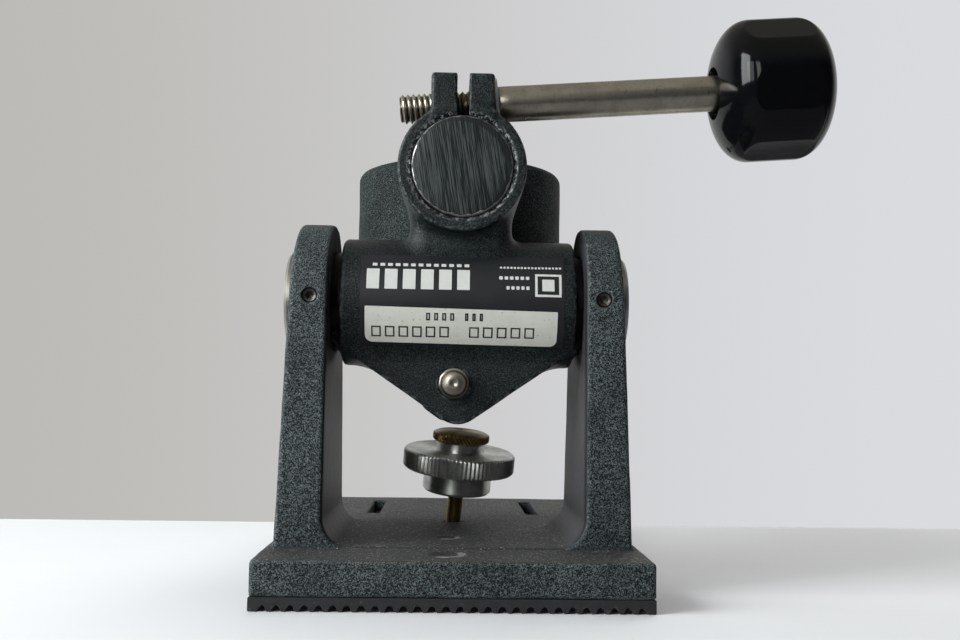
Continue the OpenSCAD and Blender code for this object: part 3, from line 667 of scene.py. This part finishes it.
label_silver = foil("label_silver", (0.64, 0.65, 0.57), (0.86, 0.87, 0.77), 0.42, 0.15, 0.40)
print_white = plain_paint("print_white", (0.66, 0.67, 0.63), (0.78, 0.79, 0.75), 0.5)
print_black = plain_paint("print_black", (0.010, 0.011, 0.012), (0.030, 0.031, 0.031), 0.55)


# ---------------------------------------------------------------- castings
yoke = cast("yoke_platform_cast", yoke_solid, YOKE_LO, YOKE_HI, 0.85, yoke_paint)
finish_piece(yoke, "platform", "crinkle_black", "yoke_platform")

head = cast("tilt_casting_cast", tilt_casting_solid, CAST_LO, CAST_HI, 0.7, casting_paint)
finish_piece(head, "tilt_head", "casting_black", "tilt_casting")

housing = cast("pan_housing_cast", pan_housing_solid, HOUSING_LO, HOUSING_HI, 0.95, housing_paint)
finish_piece(housing, "pan_base", "casting_black", "pan_housing")


# ---------------------------------------------------------------- rubber pad
def rubber_pad():
    """Ribbed pad: arched grooves front to back, a hole for the screw, two tongues in the plate's slots."""
    grooves, arch_z, hole_r = 28, 0.7, 6.8
    pitch = 2 * PLATE_HALF / (grooves + 1)
    groove_r = pitch * 0.27
    lip, foot = 0.25, 0.02
    outline = [(-PLATE_HALF, lip), (-PLATE_HALF + lip, foot)]
    for i in range(grooves):
        centre = (i - (grooves - 1) / 2) * pitch
        outline.append((centre - groove_r - 0.38, foot))
        for k in range(9):
            a = math.pi - k * math.pi / 8
            outline.append((centre + groove_r * math.cos(a), arch_z + groove_r * math.sin(a)))
        outline.append((centre + groove_r + 0.38, foot))
    outline += [(PLATE_HALF - lip, foot), (PLATE_HALF, lip)]
    outline += [(PLATE_HALF, PAD_T - lip), (PLATE_HALF - 0.2, PAD_T)]
    outline += [(-PLATE_HALF + 0.2, PAD_T), (-PLATE_HALF, PAD_T - lip)]
    outline = np.array(outline)
    # Cuts from front to back, the first and last one a little smaller, so that the pad's ends are soft
    stations = [(YOKE_LO[1], 0.2), (YOKE_LO[1] + lip, 0.0)]
    stations += [(y, 0.0) for y in np.linspace(YOKE_LO[1] + 6, YOKE_HI[1] - 6, 24)]
    stations += [(YOKE_HI[1] - lip, 0.0), (YOKE_HI[1], 0.2)]
    verts = []
    for number, (y, shrink) in enumerate(stations):
        ring = outline.copy()
        ring[:, 1] = np.where(ring[:, 1] < arch_z, ring[:, 1] + shrink * 0.6, ring[:, 1])
        wander = 0.08 * math.sin(number * 1.7) * np.cos(ring[:, 0] * 0.9 + number)
        ring[:, 0] += np.where(np.abs(ring[:, 0]) < PLATE_HALF - 1, wander, -np.sign(ring[:, 0]) * shrink)
        ring[:, 1] = np.clip(ring[:, 1] + (ring[:, 1] > PAD_T / 2) * -shrink * 0.5, foot, PAD_T)
        verts += [(x, y, z) for x, z in ring]
    count = len(outline)
    faces = []
    for row in range(len(stations) - 1):
        for i in range(count):
            a, b = row * count + i, row * count + (i + 1) % count
            faces.append((a, b, b + count, a + count))
    faces.append(tuple(range(count))[::-1])
    faces.append(tuple(range(len(verts) - count, len(verts))))
    pad = add_object("rubber_pad_ribbed", np.array(verts) * MM, faces, pad_rubber, 40)
    rings = [(0, -2), (hole_r, -2), (hole_r, 8), (0, 8)]
    drill = revolve("drill", rings, place(0, SCREW_Y, 0), pad_rubber, 64)
    boolean = pad.modifiers.new("hole", "BOOLEAN")
    boolean.operation = "DIFFERENCE"
    boolean.object = drill
    boolean.solver = "EXACT"
    bpy.context.view_layer.update()
    solid = bpy.data.meshes.new_from_object(pad.evaluated_get(bpy.context.evaluated_depsgraph_get()))
    pad.modifiers.clear()
    pad.data = solid
    bpy.data.objects.remove(drill)
    tongues = []
    for side in (-1, 1):
        lo = np.array([side * SLOT_X - SLOT_W / 2 + 0.1, SLOT_Y + 0.1, PAD_T - 0.5])
        hi = np.array([side * SLOT_X + SLOT_W / 2 - 0.1, SLOT_Y + SLOT_L - 0.1, 8.5])

        def tongue(x, y, z):
            return block(x, y, z, lo, hi, 0.6)

        tongues.append(cast("tongue", tongue, lo, hi, 0.8, pad_rubber, 0.02))
    return join_pieces("rubber_pad_ribbed", [pad, *tongues])


finish_piece(rubber_pad(), "platform", "pad_rubber", "rubber_pad")


# ---------------------------------------------------------------- shafts
def bar_end(r, along, inward, chamfer=0.8, centre_r=2):
    """Rings of a turned bar's end face, from the rim to the bottom of its centre hole."""
    face = [(r, chamfer), (r - chamfer, 0), (r * 0.55, 0), (r * 0.55 - 0.15, 0.06)]
    face += [(centre_r + 0.4, 0.06), (centre_r, 0.2), (0, centre_r + 0.4)]
    return [(radius, along + inward * deep) for radius, deep in face]


def tilt_shaft():
    half = SHAFT_HI[0]
    rings = bar_end(SHAFT_R, -half, 1)[::-1] + bar_end(SHAFT_R, half, -1)
    return revolve("tilt_shaft_turned", rings, place(0, 0, AXIS_Z, "X"), ground_steel, 128)


def side_tilt_shaft():
    """Shaft with a hand-filed front face, stepped down behind the clamp ring."""
    front, back, thin_r = RING_SHAFT_LO[1], RING_SHAFT_HI[1], 9
    rings = [(0, front), (SHAFT_R * 0.35, front + 0.02), (SHAFT_R * 0.7, front),
             (SHAFT_R - 0.9, front + 0.05), (SHAFT_R - 0.25, front + 0.25), (SHAFT_R, front + 0.75),
             (SHAFT_R, 16.6), (SHAFT_R - 0.4, 17), (thin_r, 17), (thin_r, 32.8), (8.4, back), (0, back)]
    return revolve("side_tilt_shaft_turned", rings, place(RING_X, 0, RING_Z, "Y"), shaft_end_paint, 128)


finish_piece(tilt_shaft(), "platform", "ground_steel", "tilt_shaft")
finish_piece(side_tilt_shaft(), "pan_base", "painted_shaft", "side_tilt_shaft")


def set_screw(x):
    """Cup-point socket set screw with a hexagon socket and a bright turned rim."""
    steps = 48
    angle = np.arange(steps) * math.tau / steps
    hexagon = 1.02 / np.cos((angle % (math.pi / 3)) - math.pi / 6)
    rings = [(0, 2.4), (0.4, 2.3), (hexagon, 2.1), (hexagon, 0.35), (1.45, 0.1), (1.75, 0),
             (2.07, 0.35), (2.07, 7.6), (1.2, 8.3), (0, 8.3)]
    return revolve("set_screw", rings, place(x, -ARM_R + 0.55, AXIS_Z, "Y"), black_steel, steps)


screws = join_pieces("set_screws_socketed", [set_screw(-SET_SCREW_X), set_screw(SET_SCREW_X)])
finish_piece(screws, "platform", "black_steel", "shaft_set_screws")


# ---------------------------------------------------------------- camera screw and lock nut
LEAN = Matrix.Rotation(math.radians(4.45), 4, "Y") @ Matrix.Rotation(math.radians(7), 4, "X")
PIVOT_DEPTH = 1.75
SCREW = place(0, SCREW_Y, PLATE_TOP - PIVOT_DEPTH, tilt=LEAN)
HUB_Z = PIVOT_DEPTH + 10.3
HUB_H, DISC_H, COLLAR_H, HEAD_H = 7, 6.2, 3.1, 3.4
NUT_R, COLLAR_R, HEAD_R, SHANK_R = 18, 7.7, 9.2, 2.4


def saw(turns):
    """A row of teeth from 0 to 1, one for each whole turn of the phase."""
    return 2 * np.abs(turns % 1.0 - 0.5)


def lock_nut():
    """Steel nut: plain hub below, straight-knurled disc, plain collar above."""
    teeth, steps = 84, 84 * 8
    tooth = 0.42 * saw(np.arange(steps) * teeth / steps)
    shoulder = NUT_R - 0.35 - tooth * 0.3
    low, high = HUB_Z + HUB_H, HUB_Z + HUB_H + DISC_H
    top, hub_r, bore = high + COLLAR_H, 11, 3.23
    rings = [(bore, HUB_Z + 0.4), (bore + 0.5, HUB_Z), (hub_r - 0.8, HUB_Z), (hub_r, HUB_Z + 0.8),
             (hub_r, low - 0.3), (hub_r + 0.3, low)]
    rings += [(NUT_R - 0.75, low), (shoulder, low + 0.35), (NUT_R - tooth, low + 0.8),
              (NUT_R - tooth, high - 0.8), (shoulder, high - 0.35), (NUT_R - 0.75, high - 0.02)]
    rings += [(NUT_R - 1.3, high - 0.06), (COLLAR_R + 0.7, high - 0.06), (COLLAR_R + 0.15, high + 0.1),
              (COLLAR_R, high + 0.5), (COLLAR_R, top - 0.4), (COLLAR_R - 0.4, top), (bore + 0.5, top),
              (bore, top - 0.4)]
    return revolve("lock_nut_knurled", rings, SCREW, turned_steel, steps, closed=True)


def camera_screw():
    """Brass screw: threaded tip, smooth shank, thread under the nut, domed head with slanting knurls."""
    teeth, steps = 48, 48 * 12
    phase = np.arange(steps) * teeth / steps
    head_z = HUB_Z + HUB_H + DISC_H + COLLAR_H + 0.02
    rings = [(0, -10.3), (1.7, -10.3)]
    rings += thread_rings(3.175, 0.55, 1.27, -10.2, -3.7, steps, 0.9)
    rings += [(3.1, -3.62), (SHANK_R, -3.5), (SHANK_R, HUB_Z - 0.5), (2.9, HUB_Z - 0.4), (3.1, HUB_Z),
              (3.1, head_z), (HEAD_R - 1.9, head_z)]
    for part in np.linspace(0, 1, 9):
        fade = min(1, part * 6, (1 - part) * 6)
        tooth = 0.5 * saw(phase + part * 1.5) * fade
        rings.append((HEAD_R - 0.5 * (1 - fade) - tooth, head_z + 0.05 + part * (HEAD_H - 0.85)))
    top = head_z + HEAD_H
    rings += [(HEAD_R - 1.3, top - 0.45), (HEAD_R - 3.4, top - 0.15), (HEAD_R - 6, top - 0.02), (0, top)]
    return revolve("camera_screw_knurled", rings, SCREW, old_brass, steps, smooth_angle=28)


def captive_washer():
    rings = [(2.45, -3.5), (4.0, -3.5), (4.2, -3.3), (4.2, -2.85), (4.05, -2.7), (2.45, -2.7)]
    return revolve("captive_washer_turned", rings, SCREW, old_brass, 64, closed=True)


finish_piece(lock_nut(), "lock_nut", "turned_steel", "lock_nut")
finish_piece(camera_screw(), "camera_screw", "old_brass", "camera_screw")
finish_piece(captive_washer(), "camera_screw", "old_brass", "captive_washer")


# ---------------------------------------------------------------- handles
ROD_R = 5.15
SLOPED = Matrix.Rotation(-ROD_SLOPE, 4, "Y")
SIDE_ROD = place(RING_X, -EAR_HOLE_DEPTH, RING_Z + EAR_HOLE_RISE, "X", SLOPED)
TILT_ROD = place(LUG_HOLE_X, 0, AXIS_Z - LUG_HOLE_DROP, "Y")
WASHER_T, WASHER_GAP = 1.1, 0.05
RECESS = 26


def handle_rod(name, where, start, thread_end, bare):
    """Rod and clamp screw in one: turned front end, rolled thread, undercut, smooth rod."""
    end = thread_end + bare + RECESS
    rings = [(0, start + 0.35), (0.5, start + 0.12), (0.9, start), (2.0, start), (2.1, start + 0.05),
             (THREAD_R - 1.25, start + 0.02)]
    rings += thread_rings(THREAD_R, 0.78, THREAD_PITCH, start + 0.08, thread_end - 0.4, 64, 0.9)
    rings += [(THREAD_R - 0.8, thread_end - 0.3), (THREAD_R, thread_end - 0.05), (ROD_R - 0.6, thread_end),
              (ROD_R - 0.15, thread_end + 0.15), (ROD_R, thread_end + 0.6)]
    rings += [(ROD_R, along) for along in np.linspace(thread_end + 4, end - 1, 12)]
    rings += [(ROD_R - 0.5, end), (0, end)]
    return revolve(name, rings, where, stainless, 64)


def soft_min(a, b, r):
    """The smaller of two values, rounded over a width r where they cross."""
    return np.minimum(a, b) - np.maximum(r - np.abs(a - b), 0) ** 2 / (4 * r)


def handle_knob(name, where, start, turn, long=34.6, middle=12.8, widest=20.5, across=39.4, power=2.2):
    """Moulded knob: a drum with rounded ends and six flats, a deep recess round the rod, a bore for it."""
    steps = 396
    angle = np.arange(steps) * math.tau / steps
    corner = (angle - math.radians(turn)) % (math.pi / 3) - math.pi / 6
    flat = across / 2 / np.cos(corner)
    end = (long - middle) / 2
    curve = [(widest * math.sin(a) ** (2 / power), end * (1 - math.cos(a) ** (2 / power)))
             for a in np.radians(np.linspace(2, 90, 76))]
    shape = [(ball, start + along) for ball, along in curve if ball > 7.7]
    shape += [(widest, start + end + middle * part) for part in (0.25, 0.5, 0.75)]
    shape += [(ball, start + long - along) for ball, along in curve[::-1]]
    rings = [(soft_min(ball, flat, 0.1), along) for ball, along in shape]
    front = [(0, RECESS), (ROD_R + 0.01, RECESS), (ROD_R + 0.01, 6.6), (ROD_R + 0.4, 6), (6.9, 6), (7.5, 5.2),
             (7.5, 0.8), (7.62, 0.6)]
    rings = [(r, start + along) for r, along in front] + rings + [(0, start + long)]
    return revolve(name, rings, where, knob_black, steps, smooth_angle=40)


def handle_washer(name, where, start):
    section = [(4.3, 0.1), (4.4, 0), (7.5, 0), (7.8, 0.25), (7.8, 0.8), (7.5, WASHER_T), (4.4, WASHER_T),
               (4.3, 1.0)]
    rings = [(r, start + along) for r, along in section]
    return revolve(name, rings, where, turned_steel, 96, closed=True)


def handle(body, where, tip, seat, bare, turn):
    """One handle: its rod from tip on, a washer on its seat, and a knob beyond a bare stretch of rod."""
    start = seat + 2 * WASHER_GAP + WASHER_T
    rod = handle_rod(body + "_rod_turned", where, tip, start, bare)
    finish_piece(rod, body, "rod_stainless", body + "_rod")
    knob = handle_knob(body + "_knob_moulded", where, start + bare, turn)
    finish_piece(knob, body, "phenolic", body + "_knob")
    washer = handle_washer(body + "_washer_turned", where, seat + WASHER_GAP)
    finish_piece(washer, body, "turned_steel", body + "_washer")


handle("side_handle", SIDE_ROD, -18.3, EAR_SEAT, 62.9, 15)
handle("tilt_handle", TILT_ROD, -17.5, LUG_HALF_T, 285, 35)


# ---------------------------------------------------------------- pan base
SEAT_Z = HOUSING_HI[2] + 1.5
PAN = place(PAN_X, PAN_Y, 0)


def spindle():
    """Tripod seat with turned rings and a threaded socket, journal and thread for the retaining nut."""
    low = HOUSING_LO[2]
    rings = [(0, low + 3), (8.2, low + 3)]
    rings += thread_rings(9, 0.7, 1.5, low + 3.05, low + 12.8, 96, 1.0)
    rings += [(14.5, low + 13.1), (14.95, low + 13.5), (14.95, SEAT_Z - 5.5), (19.6, SEAT_Z - 5.5),
              (20, SEAT_Z - 5.1), (20, SEAT_Z - 0.6), (19.4, SEAT_Z)]
    for radius in np.arange(18.8, 7.2, -1.3):
        rings += [(radius, SEAT_Z), (radius - 0.25, SEAT_Z - 0.18), (radius - 0.5, SEAT_Z)]
    rings += [(6.2, SEAT_Z), (4.9, SEAT_Z - 1.1)]
    rings += thread_rings(4.0, 0.72, 1.5875, SEAT_Z - 13.4, SEAT_Z - 1.2, 96, 0.8, inside=True)[::-1]
    rings += [(4.0, SEAT_Z - 13.5), (0, SEAT_Z - 14)]
    return revolve("pan_spindle_turned", rings, PAN, spindle_steel, 96)


def scalloped_knob():
    """Small moulded hand knob with six finger scallops."""
    steps = 192
    angle = np.arange(steps) * math.tau / steps
    dip = 2.4 * np.clip(np.cos(angle * 6), 0, 1) ** 0.8
    rings = [(0, 9.9), (4.0, 9.9), (4.0, 0.4), (4.4, 0), (6.6, 0), (7, 0.4), (7, 4.0), (8.2, 4.2)]
    for part in np.linspace(0, 1, 25):
        a = part * math.pi
        squash = math.sin(a) ** 0.42
        radius = 8.2 * (1 - squash) * (1 - 0.2 * part) + (13 - dip) * squash
        rings.append((radius, 4.2 + 13.6 * (1 - math.cos(a)) / 2))
    rings += [(5.5, 17.9), (3, 18), (0, 18)]
    where = place(RING_X, HOUSING_HI[1] + 4, HOUSING_HI[2] - LOCK_DROP, "Y")
    return revolve("pan_lock_knob_moulded", rings, where, knob_black, steps)


def lock_screw():
    lo, hi = box_mm("pan_lock_screw")
    thread = thread_rings(3.98, 0.6, 1.25, lo[1] + 0.05, hi[1] - 0.2, 64, 0.6)
    rings = [(0, lo[1]), *thread, (3.4, hi[1]), (0, hi[1])]
    where = place(RING_X, 0, (lo[2] + hi[2]) / 2, "Y")
    return revolve("pan_lock_screw_threaded", rings, where, spindle_steel, 64)


def cover_screw(turn):
    """Domed screw with a driver slot, seen from below."""
    low = HOUSING_LO[2]
    x, y = PAN_X + 25.4 * math.cos(turn), PAN_Y + 25.4 * math.sin(turn)
    steps = 64
    angle = np.arange(steps) * math.tau / steps
    across = np.abs(np.sin(angle))
    rings = []
    for radius in (0.001, 0.35, 0.42, 1.0, 1.5, 1.9):
        slot = np.where(radius * across < 0.38, 0.5, 0.0)
        rings.append((radius, low - 1.2 + slot + 0.12 * radius**2 / 3.6))
    rings += [(2.15, low - 0.9), (2.2, low - 0.05), (1.15, low - 0.02), (1.15, low + 6.5), (0.6, low + 6.9),
              (0, low + 6.9)]
    return revolve("cover_screw", rings, place(x, y, 0), turned_steel, steps)


finish_piece(spindle(), "pan_spindle", "spindle_steel", "pan_spindle")
finish_piece(scalloped_knob(), "pan_lock", "phenolic", "pan_lock_knob")
finish_piece(lock_screw(), "pan_lock", "spindle_steel", "pan_lock_screw")
screws = join_pieces("cover_screws_slotted", [cover_screw(math.radians(90 + 120 * i)) for i in range(3)])
finish_piece(screws, "pan_base", "turned_steel", "cover_screws")


# ---------------------------------------------------------------- labels
def bent_sheet(name, x1, x2, low, high, corners, lift, thick, material, skew=0.0):
    """Foil bent round the barrel between two angles in degrees above level, its corners rounded."""
    r = BARREL_R + lift
    even = np.linspace(x1, x2, max(2, int((x2 - x1) / 0.7) + 1))
    bend = corners[0] * (1 - np.cos(np.linspace(0, math.pi / 2, 7)))
    across = np.unique(np.concatenate([even, x1 + bend, x2 - bend]))
    rows = max(2, int((high - low) / 3) + 1)
    verts = []
    for x in across:
        gap = min(x - x1, x2 - x)
        inset = [c - math.sqrt(max(c * c - max(c - gap, 0) ** 2, 0)) if c > 0 else 0 for c in corners]
        tilt = skew * (x - (x1 + x2) / 2)
        lo, hi = low + tilt + math.degrees(inset[0] / r), high + tilt - math.degrees(inset[1] / r)
        for layer in (0.0, thick):
            for a in np.radians(np.linspace(lo, hi, rows)):
                verts.append((x, -(r + layer) * math.cos(a), AXIS_Z + (r + layer) * math.sin(a)))
    faces = []
    for i in range(len(across) - 1):
        a, b = 2 * rows * i, 2 * rows * (i + 1)
        for k in range(rows - 1):
            faces.append((a + rows + k, b + rows + k, b + rows + k + 1, a + rows + k + 1))
            faces.append((a + k + 1, b + k + 1, b + k, a + k))
        faces.append((a, b, b + rows, a + rows))
        faces.append((a + 2 * rows - 1, b + 2 * rows - 1, b + rows - 1, a + rows - 1))
    last = 2 * rows * (len(across) - 1)
    for k in range(rows - 1):
        faces.append((k, rows + k, rows + k + 1, k + 1))
        faces.append((last + k + 1, last + rows + k + 1, last + rows + k, last + k))
    return add_object(name, np.array(verts) * MM, faces, material, 40)


SKEW = -0.055
black_foil = bent_sheet("front_label_foil", -27, 29.8, -48, 42, (0.8, 0.8), 0.03, 0.13, label_black)
finish_piece(black_foil, "tilt_head", "label_black", "front_label")
silver_foil = bent_sheet("lower_label_foil", -25.6, 28, -41.5, -8.8, (2.2, 0.2), 0.2, 0.13, label_silver,
                         SKEW)
finish_piece(silver_foil, "tilt_head", "label_silver", "lower_label")


def bar_row(x1, x2, low, high, count, gap):
    """A row of equal upright bars, as a plain stand-in for a printed line."""
    step = (x2 - x1 + gap) / count
    return [(x1 + i * step, x1 + (i + 1) * step - gap, low, high) for i in range(count)]


def box_sides(x1, x2, low, high, wide=0.42, tall=1.3):
    """The four sides of an open box, as a plain stand-in for a letter."""
    return [(x1, x2, low, low + tall), (x1, x2, high - tall, high),
            (x1, x1 + wide, low, high), (x2 - wide, x2, low, high)]


def printed(name, bars, corner, lift, material, skew):
    """Thin marks on a foil, one for each bar, as one piece."""
    marks = [bent_sheet("mark", *bar, (corner, corner), lift, 0.03, material, skew) for bar in bars]
    return join_pieces(name, marks)


WHITE_ROWS = ((-25.3, 3.4, 7.5, 26, 6, 1.5), (-23.8, 3.2, 29, 32, 13, 0.8), (11.6, 20, 17.5, 20.5, 6, 0.5),
              (13.6, 20, 8.5, 11.5, 5, 0.5), (11.8, 29, 28.2, 30.2, 18, 0.35))
white_bars = [bar for row in WHITE_ROWS for bar in bar_row(*row)]
white_bars += [(21.6, 29, 21, 23), (21.6, 29, 2.5, 4.5), (21.6, 22.3, 4.5, 21), (28.3, 29, 4.5, 21),
               (23.6, 27, 7.5, 18)]
white_marks = printed("front_label_marks", white_bars, 0.15, 0.165, print_white, SKEW / 2)
finish_piece(white_marks, "tilt_head", "label_silver")

BOX_ROWS = ((-23.8, -2.2, -34.5, -24.5, 6), (3.4, 21.6, -34.5, -24.5, 5), (-8.6, -0.8, -19, -12.5, 4),
            (2.2, 7.2, -19, -12.5, 3))
dark_bars = [side for row in BOX_ROWS for box in bar_row(*row, 1.1) for side in box_sides(*box)]
dark_marks = printed("lower_label_marks", dark_bars, 0, 0.335, print_black, SKEW)
finish_piece(dark_marks, "tilt_head", "label_black")


# ---------------------------------------------------------------- CAD nodes that stay in view
kept_finishes = {"shaft_cross_pin": ground_steel, "pan_thrust_washer": bearing_plastic,
                 "pan_retaining_washer": spindle_steel, "pan_retaining_nut": spindle_steel,
                 "housing_cover": housing_paint, "pan_lock_pad": old_brass}
for node, finish in kept_finishes.items():
    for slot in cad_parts[node].material_slots:
        slot.material = finish


# ---------------------------------------------------------------- floor, light, camera
def paper_finish():
    f = Finish("paper")
    color = f.mix(f.noise(60, 3.0, 0.5), (0.80, 0.81, 0.83), (0.86, 0.87, 0.88))
    return f.done(color, 0.75, 0.0, f.bump(f.noise(1.5, 3.0, 0.6), 0.03, 0.3))


def backdrop_finish():
    """Plain pale backdrop, a little darker on the left."""
    f = Finish("backdrop")
    glow = f.mix(f.between(f.parts(f.place)[0], -3.0, 3.0), (0.50, 0.49, 0.465), (0.70, 0.71, 0.74))
    return f.glowing(glow)


def room_finish():
    """The room that shiny pieces mirror: pale behind, above and below, dim in front, with one tall window."""
    f = Finish("room")
    x, y, z = f.parts(f.place)
    glow = f.mix(f.between(y, 3.6, 1.0), (0.60, 0.60, 0.60), (0.030, 0.030, 0.033))
    glow = f.mix(f.between(z, 2.4, 4.2), glow, (0.26, 0.25, 0.225))
    glow = f.mix(f.between(z, -1.6, -2.6), glow, (0.20, 0.20, 0.21))
    strip = f.times(f.between(x, -3.0, -2.7), f.between(x, -1.2, -1.5))
    strip = f.times(strip, f.times(f.between(y, -3.6, -4.2), f.between(z, 3.2, 2.8)))
    glow = f.mix(f.times(strip, f.between(z, 0.2, 0.5)), glow, (4.6, 4.7, 4.6))
    return f.glowing(glow)


def floor_sheet(name, front, back, material):
    """Flat sheet on the floor between two depths."""
    half = 0.9
    verts = [(-half, front, 0), (half, front, 0), (half, back, 0), (-half, back, 0)]
    sheet = add_object(name, verts, [(0, 1, 2, 3)], material)
    return sheet


def dome(name, radius, material, seen_by):
    """Ball round the whole stage that only one kind of ray can see."""
    turns = np.linspace(0.001, math.pi - 0.001, 25)
    rings = [(radius * math.sin(turn) / MM, radius * math.cos(turn) / MM) for turn in turns]
    ball = revolve(name, rings, place(0, 0, 0), material, 48)
    for way in ("camera", "glossy", "diffuse", "shadow", "transmission", "volume_scatter"):
        setattr(ball, "visible_" + way, way == seen_by)


# The floor in front isn't mirrored, so that it doesn't whiten the shiny pieces' undersides
seam = 0.06
floor_sheet("paper", seam, 0.127, paper_finish())
floor_sheet("paper_front", -1.2, seam, paper_finish()).visible_glossy = False
dome("backdrop", 6.0, backdrop_finish(), "camera")
dome("room", 5.9, room_finish(), "glossy")


def area_light(name, spot, target, size, power, color, mirrored=True):
    """Rectangular light that looks at its target; mirrored says whether shiny pieces show it."""
    light = bpy.data.lights.new(name, "AREA")
    light.shape = "RECTANGLE"
    light.size, light.size_y = size
    light.energy = power
    light.color = color
    lamp = show(bpy.data.objects.new(name, light))
    lamp.location = spot
    lamp.rotation_euler = (Vector(target) - Vector(spot)).to_track_quat("-Z", "Y").to_euler()
    lamp.visible_glossy = mirrored


centre = (0, 0.02, 0.08)
area_light("window_left", (-1.05, -0.34, 0.55), centre, (0.6, 0.8), 16.5, (0.95, 0.985, 1.0))
area_light("window_near", (-0.24, -0.24, 0.24), (-0.02, 0, 0.07), (0.16, 0.20), 0.38, (0.95, 0.99, 1.0))
area_light("window_top", (0.15, 0.45, 1.3), centre, (0.9, 0.9), 9.0, (1.0, 0.99, 0.96), mirrored=False)
area_light("window_back", (0.8, 1.0, 0.8), centre, (0.8, 0.8), 3.5, (1.0, 1.0, 1.0), mirrored=False)

world = bpy.data.worlds.new("studio")
world.use_nodes = True
dim = world.node_tree.nodes["Background"]
dim.inputs["Color"].default_value = (0.055, 0.055, 0.060, 1)
dim.inputs["Strength"].default_value = 1.0
bpy.context.scene.world = world
bpy.context.scene.view_settings.view_transform = "Standard"

# The camera stands where the photo was taken from: its place in metres, then yaw, pitch and roll
camera_place = Matrix.Translation((-0.00181, -0.30177, 0.0552))
yaw, pitch, roll = (math.radians(a) for a in (-1.653, 3.926, -0.832))
turn = Matrix.Rotation(yaw, 4, "Z") @ Matrix.Rotation(pitch, 4, "X") @ Matrix.Rotation(roll, 4, "Y")
lens = bpy.data.cameras.new("camera")
lens.sensor_width = 36
lens.lens = 38.44
lens.clip_start = 0.01
camera = show(bpy.data.objects.new("camera", lens))
camera.matrix_world = camera_place @ turn @ Matrix.Rotation(math.pi / 2, 4, "X")
bpy.context.scene.camera = camera
